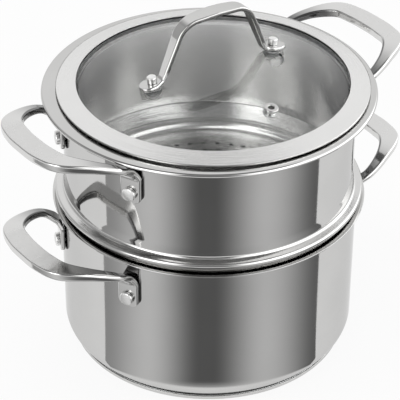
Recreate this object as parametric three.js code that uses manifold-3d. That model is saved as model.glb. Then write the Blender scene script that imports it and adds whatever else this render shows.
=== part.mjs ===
// Two-tier steamer pot: a pot with a sandwich base, a perforated steamer insert that stands in the
// pot's rim, and a domed glass lid with a steel band. Millimetres, +Z up, side handles along X,
// the base stands on z = 0 and the pot's axis is the Z axis.
import * as THREE from 'three';
import { mergeVertices } from 'three/addons/utils/BufferGeometryUtils.js';
import Module from 'manifold-3d';

const wasm = await Module();
wasm.setup();

// Shared sizes
const seatGap = 0.3; // left between pieces that touch or rest on each other
const roundSides = 32; // facets round the large turned pieces
const smallSides = 10; // facets round rivets, washers and drilled holes
const bendError = 0.25; // the most that the facets of a bend lie off its arc
const sheet = 0.8; // steel sheet of the pot and the steamer

// Sandwich base
const baseRadius = 95.6;
const baseHeight = 3;
const baseEdgeRadius = 1.2;
const baseCapSheet = 0.6;

// Pot
const potInnerRadius = 100;
const potHeight = 109.6;
const potCornerRadius = 11.8;
const potFlareRadius = 4.5;
const potLipRadius = 106.2;

// Steamer
const steamerRise = 79.6; // flange above the pot's rim
const steamerWallRadius = 97.6;
const skirtClearance = 1; // between the skirt and the pot's wall
const steamerFloorDrop = 13; // underside of the floor below the pot's rim
const steamerCornerRadius = 8;
const beadRadius = 104.5;
const beadNoseRadius = 2;
const beadSeatAngle = THREE.MathUtils.degToRad(62); // slope of the bead's underside
const beadFall = THREE.MathUtils.degToRad(12); // fall of the bead's upper face towards its nose
const beadFillet = 2.5;
const wallFlare = 0.8; // the wall leans out this far above the bead
const wallFlareHeight = 6;
const wallFlareBend = 20;
const skirtFillet = 3;
const flangeRadius = 110.9;
const flangeBendRadius = 4;
const flangeCurlRadius = 1;
const flangeCurlDrop = 1.4;

// Steam holes, in rings that each have some more holes than the ring inside it
const holeRings = 8;
const holesMorePerRing = 6;
const holeRingPitch = 9.35;
const holeDiameter = 3;
const holeSides = 5;

// Side handles, the same four times
const rivetSpacing = 80;
const rivetDrop = 28.4; // rivet centres below the rim that the handle belongs to
const padWidth = 15;
const padThickness = 3;
const padAbove = 11; // pad above the rivet centre
const padBelow = 6.5; // pad below the rivet centre
const padEndShare = 0.6; // width of the pad's lower end in its own width
const padEndRise = 2.5; // the pad has its full width this far above its lower end
const padShoulder = 4; // the pad narrows over this length below its top
const padTopShare = 0.75; // width of the pad's top in its own width
const neckWidth = 6.4;
const neckThickness = 4.2;
const armClearance = 1.5; // between the arms and the curled edge that they pass under
const gripReach = 57.4; // outer edge of the grip beyond the chord between the rivets
const gripWidth = 15.2;
const gripThickness = 6.2;
const gripRise = 30.8; // middle of the grip above the rivet centres
const gripCornerSpread = 28.5; // half the spread of the loop's two corners
const gripCornerSetback = 4.8; // corners nearer to the pot than the grip's middle
const gripCornerShare = 0.92; // width at the corners in the grip's width
const elbowShare = 0.58; // width at the elbows in the grip's width
const elbowThickness = 5.6;
const gripSideSetbackShare = 0.15; // setback there in the setback of the corners
const elbowBulge = 0.3; // how far the elbows lie from a straight arm towards the corner
const barEdgeShare = 0.3; // cut edges of the bar in its thickness

// Rivets of the side handles
const shankDiameter = 5;
const shankClearance = 0.3;
const outerHeadDiameter = 9.4;
const outerHeadHeight = 3;
const innerHeadDiameter = 10;
const innerHeadHeight = 1.6;

// Shape of a domed rivet head, in its radius and height
const headEdgeShare = 0.45; // height of the upright edge
const headShoulderSpread = 0.75; // radius of the shoulder
const headShoulderRise = 0.85; // height of the shoulder

// Lid band and glass
const lidPlay = 2.8; // between the lid's skirt and the steamer's wall
const lidSideGap = 0.3; // play left on the side towards which the lid lies
const lidLean = THREE.MathUtils.degToRad(-35); // direction in which the lid lies off centre
const lidTurn = THREE.MathUtils.degToRad(-2.8); // turn of the lid handle from the line of the side handles
const bandOverhang = 9.6; // outer edge of the band beyond its skirt
const bandLipWidth = 3.6; // inner edge of the band inside its skirt
const bandSheet = 0.5;
const bandRise = 4.6; // inner lip of the band above the seat
const bandFall = 2.7; // fall of the band from its inner lip to its outer edge
const bandSeatWidth = 2; // flat of the band that lies on the flange
const bandHemWidth = 5; // fold of the outer edge back under the sloping top
const bandLipRise = 0.85; // underside of the outer edge above the seat
const bandSkirtDepth = 6;
const bandSkirtBend = 1;
const bandSeatBend = 0.4;
const bandLedgeWidth = 4.4;
const gasketThickness = 1.7;
const gasketLip = 1.3;
const gasketLeg = 2.1; // leg of the gasket under the glass
const glassThickness = 4;
const glassDomeRadius = 330;

// Lid handle and vent
const footRadius = 46.6; // rivets of the lid handle from the lid's axis
const strapWidth = 12.5;
const strapNeckWidth = 7.2; // narrowest part of the legs
const strapThickness = 3.2;
const strapRise = 40.8; // top of the handle above the middle of the glass
const strapShoulder = 24.6; // half the distance between the shoulders
const strapCrown = 2; // the top stretch is this much higher in its middle
const strapCrownRadius = 90;
const strapShoulderRadius = 16;
const strapBendRadius = 4;
const footBend = 7; // from the rivet to the bend of the foot
const footReach = 3; // from the rivet to the middle of the foot's round end
const washerThickness = 0.8;
const washerDiameter = 11;
const lidShankDiameter = 4;
const lidHeadDiameter = 6.4;
const lidHeadHeight = 4.2;
const lidBackHeadDiameter = 9;
const lidBackHeadHeight = 1.5;
const ventRadius = 60; // vent from the lid's axis
const ventBearing = THREE.MathUtils.degToRad(-86.2); // direction of the vent from the lid handle
const ventDiameter = 4;
const ventShankDiameter = 6.4;
const ventFlangeDiameter = 9.6;
const ventFlangeHeight = 1.4;
const ventBevel = 0.75;

// Levels and radii that follow from the sizes above
const potOuterRadius = potInnerRadius + sheet;
const potBottom = baseHeight + seatGap;
const flangeTop = potHeight + steamerRise;
const steamerInnerRadius = steamerWallRadius - sheet;
const skirtRadius = potInnerRadius - skirtClearance;
const steamerFloorBottom = potHeight - steamerFloorDrop;
const steamerFloorRadius = skirtRadius - steamerCornerRadius;
const lidSeat = flangeTop + seatGap;
const bandSkirtRadius = steamerInnerRadius - lidPlay;
const bandOuterRadius = bandSkirtRadius + bandOverhang;
const bandInnerRadius = bandSkirtRadius - bandLipWidth;
const bandLipTop = lidSeat + bandRise;
const glassEdgeTop = bandLipTop - bandSheet - gasketLip - 2 * seatGap;
const glassRadius = bandSkirtRadius - bandSheet - gasketThickness - 2 * seatGap;
const glassCentre = glassEdgeTop - Math.sqrt(glassDomeRadius ** 2 - bandInnerRadius ** 2);

// How far the middle of a facet lies inside the circle that the facets stand for
function facetSag(radius) {
  return radius * (1 - Math.cos(Math.PI / roundSides));
}

// Finishes
function steel(roughness) {
  return new THREE.MeshStandardMaterial({ color: 0xd6d6d4, metalness: 1, roughness });
}

function aluminium() {
  return new THREE.MeshStandardMaterial({ color: 0xb9babb, metalness: 1, roughness: 0.4 });
}

function silicone() {
  return new THREE.MeshStandardMaterial({ color: 0x1c1c1d, metalness: 0, roughness: 0.6 });
}

function clearGlass() {
  return new THREE.MeshStandardMaterial({
    color: 0xe9eeec, metalness: 0, roughness: 0.05, transparent: true, opacity: 0.25,
  });
}

// A path through the corners given, each [x, y, radius], with an arc of that radius at each corner
function filletPath(corners) {
  const path = [];
  corners.forEach(([x, y, radius = 0], i) => {
    const here = new THREE.Vector2(x, y);
    if (radius === 0 || i === 0 || i === corners.length - 1) {
      path.push(here);
      return;
    }
    const back = new THREE.Vector2(...corners[i - 1]).sub(here).normalize();
    const on = new THREE.Vector2(...corners[i + 1]).sub(here).normalize();
    const half = Math.acos(THREE.MathUtils.clamp(back.dot(on), -1, 1)) / 2;
    const middle = back.clone().add(on).normalize();
    const centre = here.clone().addScaledVector(middle, radius / Math.sin(half));
    const from = here.clone().addScaledVector(back, radius / Math.tan(half)).sub(centre).angle();
    const to = here.clone().addScaledVector(on, radius / Math.tan(half)).sub(centre).angle();
    const turn = THREE.MathUtils.euclideanModulo(to - from + Math.PI, 2 * Math.PI) - Math.PI;
    const facet = 2 * Math.acos(Math.max(1 - bendError / radius, 0));
    const steps = Math.ceil(Math.abs(turn) / facet);
    for (let step = 0; step <= steps; step++) {
      const angle = from + turn * step / steps;
      const spoke = new THREE.Vector2(Math.cos(angle), Math.sin(angle)).multiplyScalar(radius);
      path.push(spoke.add(centre));
    }
  });
  return path;
}

// The same path, moved to its left by a distance; a sharp corner is stretched to twice that at most
function offsetPath(path, distance) {
  return path.map((point, i) => {
    const before = point.clone().sub(path[Math.max(i - 1, 0)]).normalize();
    const after = path[Math.min(i + 1, path.length - 1)].clone().sub(point).normalize();
    const along = before.clone().add(after).normalize();
    const left = new THREE.Vector2(-along.y, along.x);
    const edge = i === 0 ? after : before;
    const stretch = Math.max(left.dot(new THREE.Vector2(-edge.y, edge.x)), 1 / 2);
    return point.clone().addScaledVector(left, distance / stretch);
  });
}

// Outline of bent sheet: the path and its copy on the left
function sheetOutline(path, thickness) {
  return [...path, ...offsetPath(path, thickness).reverse()];
}

// Solid of revolution round Z from a closed outline of [radius, height] points
function turned(outline, sides) {
  const points = outline.map((point) => new THREE.Vector2(point.x, point.y));
  if (THREE.ShapeUtils.area(points) < 0) {
    points.reverse();
  }
  points.push(points[0].clone());
  return new THREE.LatheGeometry(points, sides).rotateX(Math.PI / 2);
}

// Solid of revolution whose outline is given as plain [radius, height] pairs
function turnedFrom(pairs, sides) {
  return turned(pairs.map(([x, y]) => new THREE.Vector2(x, y)), sides);
}

// Upright round bar from one level to another
function bar(radius, low, high) {
  return new THREE.CylinderGeometry(radius, radius, high - low, smallSides)
    .rotateX(Math.PI / 2)
    .translate(0, 0, (low + high) / 2);
}

function toSolid(geometry) {
  const bare = geometry.index ? geometry.clone() : mergeVertices(geometry);
  bare.deleteAttribute('normal');
  bare.deleteAttribute('uv');
  const merged = mergeVertices(bare);
  return new wasm.Manifold(new wasm.Mesh({
    numProp: 3,
    vertProperties: new Float32Array(merged.attributes.position.array),
    triVerts: new Uint32Array(merged.index.array),
  }));
}

function toGeometry(solid) {
  const mesh = solid.getMesh();
  const geometry = new THREE.BufferGeometry();
  geometry.setAttribute('position', new THREE.BufferAttribute(mesh.vertProperties, 3));
  geometry.setIndex(new THREE.BufferAttribute(mesh.triVerts, 1));
  geometry.computeVertexNormals();
  return geometry;
}

// The geometry with each cutter taken away
function drilled(geometry, cutters) {
  const solid = cutters.reduce((rest, cutter) => rest.subtract(toSolid(cutter)), toSolid(geometry));
  return toGeometry(solid);
}

function piece(name, geometry, material) {
  const mesh = new THREE.Mesh(geometry, material);
  mesh.name = name;
  return mesh;
}

// The four places of a side handle's rivets: which handle, which arm and the direction outwards
function rivetPlaces(wallRadius) {
  const angle = Math.asin(rivetSpacing / 2 / wallRadius);
  return [
    { name: 'left_front', direction: Math.PI + angle },
    { name: 'left_back', direction: Math.PI - angle },
    { name: 'right_front', direction: -angle },
    { name: 'right_back', direction: angle },
  ];
}

// Turn an upright geometry to point outwards along a direction from the Z axis
function pointOutwards(geometry, radius, direction, level) {
  return geometry
    .rotateY(Math.PI / 2)
    .translate(radius, 0, 0)
    .rotateZ(direction)
    .translate(0, 0, level);
}

// Holes for the rivets through a wall of revolution
function rivetHoles(wallRadius, level) {
  const reach = 2 * padWidth;
  return rivetPlaces(wallRadius).map(({ direction }) => pointOutwards(
    bar(shankDiameter / 2 + shankClearance, -reach, reach), wallRadius, direction, level,
  ));
}

// A rivet along Z between a flat back head and a domed head, each { base, diameter, height }
function headedPin(diameter, back, head) {
  const shank = diameter / 2;
  const backRadius = back.diameter / 2;
  const headRadius = head.diameter / 2;
  return turnedFrom([
    [0, back.base - back.height],
    [backRadius, back.base - back.height * headEdgeShare],
    [backRadius, back.base],
    [shank, back.base],
    [shank, head.base],
    [headRadius, head.base],
    [headRadius, head.base + head.height * headEdgeShare],
    [headRadius * headShoulderSpread, head.base + head.height * headShoulderRise],
    [0, head.base + head.height],
  ], smallSides);
}

// One rivet of a side handle, with z = 0 on the outside of the wall
function rivetGeometry(wallRadius) {
  return headedPin(shankDiameter, {
    base: -sheet - seatGap - facetSag(wallRadius),
    diameter: innerHeadDiameter,
    height: innerHeadHeight,
  }, {
    base: padThickness + 2 * seatGap,
    diameter: outerHeadDiameter,
    height: outerHeadHeight,
  });
}

// Stations along a side handle from one pad to the middle of the grip: place, width and thickness
function handleStations(wallRadius) {
  const half = rivetSpacing / 2;
  const angle = Math.asin(half / wallRadius);
  const chord = wallRadius * Math.cos(angle);
  const padRadius = wallRadius + seatGap + padThickness / 2;
  const onRay = (radius, z) => new THREE.Vector3(
    radius * Math.cos(angle), radius * Math.sin(angle), z,
  );
  const gripMiddle = chord + gripReach - gripWidth / 2;
  const armOut = flangeRadius - steamerWallRadius;
  const armLevel = rivetDrop - sheet - flangeCurlDrop - armClearance - neckThickness / 2;
  const cornerX = gripMiddle - gripCornerSetback;
  const neck = onRay(padRadius + padThickness, (padAbove + armLevel) / 2);
  const arm = onRay(padRadius + armOut - padThickness / 2, armLevel);
  const corner = new THREE.Vector3(cornerX, gripCornerSpread, gripRise);
  const elbow = arm.clone().lerp(corner, 0.5);
  elbow.y += (half - gripCornerSpread) * elbowBulge;
  elbow.z += (gripRise - elbow.z) * elbowBulge;
  const sideX = gripMiddle - gripCornerSetback * gripSideSetbackShare;
  const side = new THREE.Vector3(sideX, gripCornerSpread / 2, gripRise);
  return [
    { at: onRay(padRadius, -padBelow), width: padWidth * padEndShare, thickness: padThickness },
    { at: onRay(padRadius, padEndRise - padBelow), width: padWidth, thickness: padThickness },
    { at: onRay(padRadius, 0), width: padWidth, thickness: padThickness },
    { at: onRay(padRadius, padAbove - padShoulder), width: padWidth, thickness: padThickness },
    { at: onRay(padRadius, padAbove), width: padWidth * padTopShare, thickness: padThickness },
    { at: neck, width: neckWidth, thickness: (padThickness + neckThickness) / 2 },
    { at: arm, width: neckWidth, thickness: neckThickness },
    { at: elbow, width: gripWidth * elbowShare, thickness: elbowThickness },
    { at: corner, width: gripWidth * gripCornerShare, thickness: gripThickness },
    { at: side, width: gripWidth, thickness: gripThickness },
    { at: new THREE.Vector3(gripMiddle, 0, gripRise), width: gripWidth, thickness: gripThickness },
  ];
}

// Closed solid through a row of rings with equally many points each
function loft(rings) {
  const count = rings[0].length;
  const positions = rings.flat().flatMap((point) => point.toArray());
  const index = [];
  for (let row = 0; row < rings.length - 1; row++) {
    for (let i = 0; i < count; i++) {
      const here = row * count + i;
      const next = row * count + (i + 1) % count;
      index.push(here, next, next + count, here, next + count, here + count);
    }
  }
  const last = (rings.length - 1) * count;
  for (let i = 1; i < count - 1; i++) {
    index.push(0, i + 1, i);
    index.push(last, last + i, last + i + 1);
  }
  const geometry = new THREE.BufferGeometry();
  geometry.setAttribute('position', new THREE.Float32BufferAttribute(positions, 3));
  geometry.setIndex(index);
  geometry.computeVertexNormals();
  return geometry;
}

// Rectangle with cut corners in the plane of two directions
function barSection(centre, across, up, width, thickness) {
  const cut = thickness * barEdgeShare;
  const a = width / 2;
  const b = thickness / 2;
  const corners = [
    [a, cut - b], [a, b - cut], [a - cut, b], [cut - a, b],
    [-a, b - cut], [-a, cut - b], [cut - a, -b], [a - cut, -b],
  ];
  return corners.map(([x, y]) => centre.clone().addScaledVector(across, x).addScaledVector(up, y));
}

// Side handle on the +X side of a wall: two upright pads, rising arms and a wide flat grip in one bar
function handleGeometry(wallRadius) {
  const stations = handleStations(wallRadius);
  const mirrored = stations.slice(0, -1).reverse().map(({ at, width, thickness }) => (
    { at: new THREE.Vector3(at.x, -at.y, at.z), width, thickness }
  ));
  const all = [...stations, ...mirrored];
  const spans = all.length - 1;
  const places = new THREE.CatmullRomCurve3(all.map(({ at }) => at));
  const sizes = new THREE.CatmullRomCurve3(
    all.map(({ width, thickness }) => new THREE.Vector3(width, thickness, 0)),
  );
  const padSpans = 4;
  const rings = [];
  for (let span = 0; span <= spans; span++) {
    const bent = span >= padSpans && span < spans - padSpans;
    (bent ? [0, 0.5] : [0]).forEach((part) => {
      const u = Math.min((span + part) / spans, 1);
      const centre = places.getPoint(u);
      const along = places.getTangent(u);
      const ray = new THREE.Vector2(centre.x, centre.y).normalize();
      const plan = new THREE.Vector2(along.x, along.y).addScaledVector(ray, along.z * Math.abs(along.z));
      const across = new THREE.Vector3(-plan.y, plan.x, 0).normalize();
      const up = along.clone().cross(across).normalize();
      const size = sizes.getPoint(u);
      rings.push(barSection(centre, across, up, size.x, size.y));
    });
  }
  return loft(rings);
}

// The two handles and four rivets of one wall
function handleSet(prefix, wallRadius, rimLevel) {
  const level = rimLevel - rivetDrop;
  const holes = rivetHoles(wallRadius, level);
  const set = [['right', 0], ['left', Math.PI]].map(([side, turn]) => {
    const placed = handleGeometry(wallRadius).rotateZ(turn).translate(0, 0, level);
    return piece(`${prefix}_handle_${side}`, drilled(placed, holes), steel(0.2));
  });
  rivetPlaces(wallRadius).forEach(({ name, direction }) => {
    const placed = pointOutwards(rivetGeometry(wallRadius), wallRadius, direction, level);
    set.push(piece(`${prefix}_rivet_${name}`, placed, steel(0.25)));
  });
  return set;
}

// Pot: a drawn shell with a flared pouring rim
function potShell() {
  const rimUnderside = potHeight - sheet;
  const path = filletPath([
    [0, potBottom],
    [potOuterRadius, potBottom, potCornerRadius],
    [potOuterRadius, rimUnderside, potFlareRadius],
    [potLipRadius, rimUnderside],
  ]);
  const shell = turned(sheetOutline(path, sheet), roundSides);
  return drilled(shell, rivetHoles(potOuterRadius, potHeight - rivetDrop));
}

// Steel tray that closes the sandwich base
function baseCap() {
  const path = filletPath([
    [0, 0],
    [baseRadius, 0, baseEdgeRadius],
    [baseRadius, baseHeight],
  ]);
  return turned(sheetOutline(path, baseCapSheet), roundSides);
}

// Heat-spreading disc inside the tray
function baseCore() {
  const radius = baseRadius - baseCapSheet - seatGap;
  const low = baseCapSheet + seatGap;
  const inset = Math.max(baseEdgeRadius - baseCapSheet, 0);
  return turnedFrom([
    [0, low],
    [radius - inset, low],
    [radius, low + inset],
    [radius, baseHeight],
    [0, baseHeight],
  ], roundSides);
}

// Steamer wall: corner and skirt inside the pot, a hollow bead that stands on the pot's rim, the
// upper wall and a flange with a curled edge
function steamerWall() {
  const underside = flangeTop - sheet;
  const flareCentre = new THREE.Vector2(
    potOuterRadius + potFlareRadius, potHeight - sheet - potFlareRadius,
  );
  const under = new THREE.Vector2(Math.sin(beadSeatAngle), -Math.cos(beadSeatAngle));
  const above = new THREE.Vector2(Math.sin(beadFall), Math.cos(beadFall));
  const seatOffset = flareCentre.dot(under) - potFlareRadius - sheet - seatGap;
  const skirtTop = (skirtRadius * under.x - seatOffset) / -under.y;
  const noseX = beadRadius - beadNoseRadius;
  const nose = new THREE.Vector2(noseX, (noseX * under.x - seatOffset + beadNoseRadius) / -under.y);
  const topOffset = nose.dot(above) + beadNoseRadius;
  const cross = under.x * above.y - under.y * above.x;
  const tipX = (seatOffset * above.y - topOffset * under.y) / cross;
  const tipZ = (under.x * topOffset - above.x * seatOffset) / cross;
  const footRing = steamerWallRadius + wallFlare;
  const footLevel = (topOffset - footRing * above.x) / above.y;
  const curlX = flangeRadius - sheet;
  const path = filletPath([
    [steamerFloorRadius, steamerFloorBottom],
    [skirtRadius, steamerFloorBottom, steamerCornerRadius - seatGap],
    [skirtRadius, skirtTop, skirtFillet],
    [tipX, tipZ, beadNoseRadius],
    [footRing, footLevel, beadFillet],
    [steamerWallRadius, footLevel + wallFlareHeight, wallFlareBend],
    [steamerWallRadius, underside, flangeBendRadius],
    [curlX, underside, flangeCurlRadius],
    [curlX, underside - flangeCurlDrop],
  ]);
  const wall = turned(sheetOutline(path, sheet), roundSides);
  return drilled(wall, rivetHoles(steamerWallRadius, flangeTop - rivetDrop));
}

// Perforated floor of the steamer
function steamerFloor() {
  const shape = new THREE.Shape();
  const outline = [];
  for (let i = 0; i < roundSides; i++) {
    const angle = 2 * Math.PI * i / roundSides;
    const radius = steamerFloorRadius - seatGap;
    outline.push(new THREE.Vector2(radius * Math.cos(angle), radius * Math.sin(angle)));
  }
  shape.setFromPoints(outline);
  for (let ring = 1; ring <= holeRings; ring++) {
    const count = holesMorePerRing * ring;
    for (let i = 0; i < count; i++) {
      const angle = 2 * Math.PI * (i + 0.5) / count;
      const x = ring * holeRingPitch * Math.cos(angle);
      const y = ring * holeRingPitch * Math.sin(angle);
      const hole = [];
      for (let side = 0; side < holeSides; side++) {
        const turn = angle - 2 * Math.PI * side / holeSides;
        const reach = holeDiameter / 2;
        hole.push(new THREE.Vector2(x + reach * Math.cos(turn), y + reach * Math.sin(turn)));
      }
      shape.holes.push(new THREE.Path(hole));
    }
  }
  return new THREE.ExtrudeGeometry(shape, { depth: sheet, bevelEnabled: false })
    .translate(0, 0, steamerFloorBottom);
}

// Height of the dome's upper face at a distance from the lid's axis, and its tilt there
function glassTop(radius) {
  return glassCentre + Math.sqrt(glassDomeRadius ** 2 - radius ** 2);
}

function glassTilt(radius) {
  return Math.asin(radius / glassDomeRadius);
}

// The places of the pieces that go through the glass: a matrix from upright at the origin
function footPlace(side) {
  return new THREE.Matrix4()
    .makeRotationY(side * glassTilt(footRadius))
    .setPosition(side * footRadius, 0, glassTop(footRadius));
}

function ventPlace() {
  return new THREE.Matrix4()
    .makeRotationZ(ventBearing)
    .multiply(new THREE.Matrix4().makeTranslation(ventRadius, 0, glassTop(ventRadius)))
    .multiply(new THREE.Matrix4().makeRotationY(glassTilt(ventRadius)));
}

// A bar through the glass for a hole of some diameter
function glassHole(diameter, place) {
  const reach = 2 * glassThickness;
  return bar(diameter / 2 + shankClearance, -reach, reach).applyMatrix4(place);
}

// Domed glass with its three holes
function lidGlass() {
  const steps = 5;
  const innerDome = glassDomeRadius - glassThickness;
  const outline = [];
  for (let i = 0; i <= steps; i++) {
    const radius = glassRadius * i / steps;
    outline.push([radius, glassCentre + Math.sqrt(innerDome ** 2 - radius ** 2)]);
  }
  for (let i = steps; i >= 0; i--) {
    const radius = glassRadius * i / steps;
    outline.push([radius, glassTop(radius)]);
  }
  return drilled(turnedFrom(outline, roundSides), [
    glassHole(lidShankDiameter, footPlace(-1)),
    glassHole(lidShankDiameter, footPlace(1)),
    glassHole(ventShankDiameter, ventPlace()),
  ]);
}

// Steel band round the glass: an inward ledge, a skirt inside the steamer, a narrow seat on the
// flange, a hem that stands clear of the flange and a sloping top
function lidBand() {
  const ledgeZ = lidSeat - bandSkirtDepth;
  const edgeTop = bandLipTop - bandFall;
  const edgeUnder = lidSeat + bandLipRise;
  const slope = bandFall / (bandOuterRadius - bandInnerRadius);
  const path = filletPath([
    [bandSkirtRadius - bandLedgeWidth, ledgeZ],
    [bandSkirtRadius, ledgeZ, bandSkirtBend],
    [bandSkirtRadius, lidSeat, bandSeatBend],
    [bandSkirtRadius + bandSeatWidth, lidSeat],
    [bandOuterRadius - bandHemWidth, edgeUnder + slope * bandHemWidth],
    [bandOuterRadius, edgeUnder],
    [bandOuterRadius, edgeTop],
    [bandInnerRadius, bandLipTop],
  ]);
  return turned(sheetOutline(path, bandSheet), roundSides);
}

// Soft ring between the band and the edge of the glass
function lidGasket() {
  const outer = bandSkirtRadius - bandSheet - seatGap;
  const wall = outer - gasketThickness;
  const slope = bandFall / (bandOuterRadius - bandInnerRadius);
  const ledgeTop = lidSeat - bandSkirtDepth + bandSheet + seatGap;
  const lipInner = bandInnerRadius + seatGap;
  const underBand = bandLipTop - (bandSheet + seatGap) * Math.hypot(1, slope);
  const lipUnder = (radius) => underBand - slope * (radius - bandInnerRadius);
  const underGlass = glassTop(glassRadius) - glassThickness - seatGap;
  return turnedFrom([
    [wall - gasketLeg, ledgeTop],
    [outer - bandSheet, ledgeTop],
    [outer, ledgeTop + bandSheet],
    [outer, lipUnder(outer)],
    [lipInner, lipUnder(lipInner)],
    [lipInner, glassTop(lipInner) + seatGap],
    [wall, glassTop(wall) + seatGap],
    [wall, underGlass],
    [wall - gasketLeg, underGlass],
  ], roundSides);
}

// How high the parts of a lid handle's foot lie above the glass, along its slope
const washerBase = seatGap;
const footBase = washerBase + washerThickness + seatGap;
const lidHeadBase = footBase + strapThickness + seatGap;
const lowerWasherBase = -glassThickness - seatGap - washerThickness;
const lidBackBase = lowerWasherBase - 2 * seatGap;

// Outline of the lid handle from above: a wide top stretch, legs that narrow and round feet
function strapPlan(footX) {
  const tab = strapWidth / 2;
  const neck = strapNeckWidth / 2;
  const flat = strapShoulder - strapShoulderRadius;
  const neckX = footX - footBend;
  const endX = footX + footReach;
  const plan = new THREE.Shape();
  plan.moveTo(-flat, -tab);
  plan.lineTo(flat, -tab);
  plan.lineTo(neckX, -neck);
  plan.lineTo(footX, -tab);
  plan.absarc(endX, 0, tab, -Math.PI / 2, Math.PI / 2, false);
  plan.lineTo(footX, tab);
  plan.lineTo(neckX, neck);
  plan.lineTo(flat, tab);
  plan.lineTo(-flat, tab);
  plan.lineTo(-neckX, neck);
  plan.lineTo(-footX, tab);
  plan.absarc(-endX, 0, tab, Math.PI / 2, 3 * Math.PI / 2, false);
  plan.lineTo(-footX, -tab);
  plan.lineTo(-neckX, -neck);
  return plan;
}

// Lid handle: a flat strap bent to an arch, with round-ended feet that follow the glass
function lidHandle() {
  const tilt = glassTilt(footRadius);
  const rise = footBase + strapThickness / 2;
  const foot = new THREE.Vector2(
    footRadius + rise * Math.sin(tilt), glassTop(footRadius) + rise * Math.cos(tilt),
  );
  const tab = strapWidth / 2 + footReach;
  const top = glassTop(0) + strapRise - strapThickness / 2;
  const end = [foot.x + tab * Math.cos(tilt), foot.y - tab * Math.sin(tilt)];
  const bend = [foot.x - footBend * Math.cos(tilt), foot.y + footBend * Math.sin(tilt)];
  const right = [
    [...end],
    [...bend, strapBendRadius],
    [strapShoulder, top - strapCrown, strapShoulderRadius],
  ];
  const left = right.map(([x, y, radius]) => [-x, y, radius]).reverse();
  const path = filletPath([...right, [0, top, strapCrownRadius], ...left]);
  const outline = [
    ...offsetPath(path, -strapThickness / 2),
    ...offsetPath(path, strapThickness / 2).reverse(),
  ];
  const strap = new THREE.ExtrudeGeometry(new THREE.Shape(outline), {
    depth: 2 * strapWidth, bevelEnabled: false,
  }).rotateX(Math.PI / 2).translate(0, strapWidth, 0);
  const prism = new THREE.ExtrudeGeometry(strapPlan(foot.x), {
    depth: 2 * strapRise, bevelEnabled: false, curveSegments: smallSides,
  }).translate(0, 0, glassTop(0) - strapRise / 2);
  const rounded = toGeometry(toSolid(strap).intersect(toSolid(prism)));
  const reach = 3 * strapThickness;
  return drilled(rounded, [-1, 1].map((side) => (
    bar(lidShankDiameter / 2 + shankClearance, -reach, reach).applyMatrix4(footPlace(side))
  )));
}

// Rivet of the lid handle, with z = 0 on the upper face of the glass
function lidRivet() {
  return headedPin(lidShankDiameter, {
    base: lidBackBase,
    diameter: lidBackHeadDiameter,
    height: lidBackHeadHeight,
  }, {
    base: lidHeadBase,
    diameter: lidHeadDiameter,
    height: lidHeadHeight,
  });
}

// Soft washer with its lower face at a level
function washer(low) {
  const hole = lidShankDiameter / 2 + shankClearance;
  const rim = washerDiameter / 2;
  return turnedFrom([
    [hole, low],
    [rim, low],
    [rim, low + washerThickness],
    [hole, low + washerThickness],
  ], smallSides);
}

// Steel eyelet that lets steam out through the glass
function ventEyelet() {
  const hole = ventDiameter / 2;
  const shank = ventShankDiameter / 2;
  const rim = ventFlangeDiameter / 2;
  const below = -glassThickness - seatGap;
  return turnedFrom([
    [hole, below - ventFlangeHeight],
    [rim - ventBevel, below - ventFlangeHeight],
    [rim, below - ventFlangeHeight + ventBevel],
    [rim, below],
    [shank, below],
    [shank, seatGap],
    [rim, seatGap],
    [rim, seatGap + ventFlangeHeight - ventBevel],
    [rim - ventBevel, seatGap + ventFlangeHeight],
    [hole, seatGap + ventFlangeHeight],
  ], smallSides);
}

// The pot with its base, handles and rivets
const pot = new THREE.Group();
pot.add(
  piece('pot_shell', potShell(), steel(0.12)),
  piece('pot_base_core', baseCore(), aluminium()),
  piece('pot_base_cap', baseCap(), steel(0.2)),
  ...handleSet('pot', potOuterRadius, potHeight),
);

// The steamer with its handles and rivets
const steamer = new THREE.Group();
steamer.add(
  piece('steamer_wall', steamerWall(), steel(0.12)),
  piece('steamer_floor', steamerFloor(), steel(0.25)),
  ...handleSet('steamer', steamerWallRadius, flangeTop),
);

// The lid, lying a little off centre within its play
const lid = new THREE.Group();
const lidShift = lidPlay - lidSideGap;
lid.position.set(lidShift * Math.cos(lidLean), lidShift * Math.sin(lidLean), 0);
lid.rotation.z = lidTurn;
lid.add(
  piece('lid_glass', lidGlass(), clearGlass()),
  piece('lid_band', lidBand(), steel(0.25)),
  piece('lid_gasket', lidGasket(), silicone()),
  piece('lid_handle', lidHandle(), steel(0.2)),
  piece('lid_vent_eyelet', ventEyelet().applyMatrix4(ventPlace()), steel(0.2)),
);
[['left', -1], ['right', 1]].forEach(([side, sign]) => {
  const place = footPlace(sign);
  lid.add(
    piece(`lid_rivet_${side}`, lidRivet().applyMatrix4(place), steel(0.25)),
    piece(`lid_washer_upper_${side}`, washer(washerBase).applyMatrix4(place), silicone()),
    piece(`lid_washer_lower_${side}`, washer(lowerWasherBase).applyMatrix4(place), silicone()),
  );
});

const steamerPot = new THREE.Group();
steamerPot.add(pot, steamer, lid);

export default steamerPot;
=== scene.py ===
"""Two-tier steamer pot: a deep pot, a perforated steamer insert and a domed glass lid."""
import logging
import math
from dataclasses import dataclass, field
from enum import Enum
from typing import Callable, Sequence

import bmesh
import bpy
from mathutils import Matrix, Vector


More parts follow.
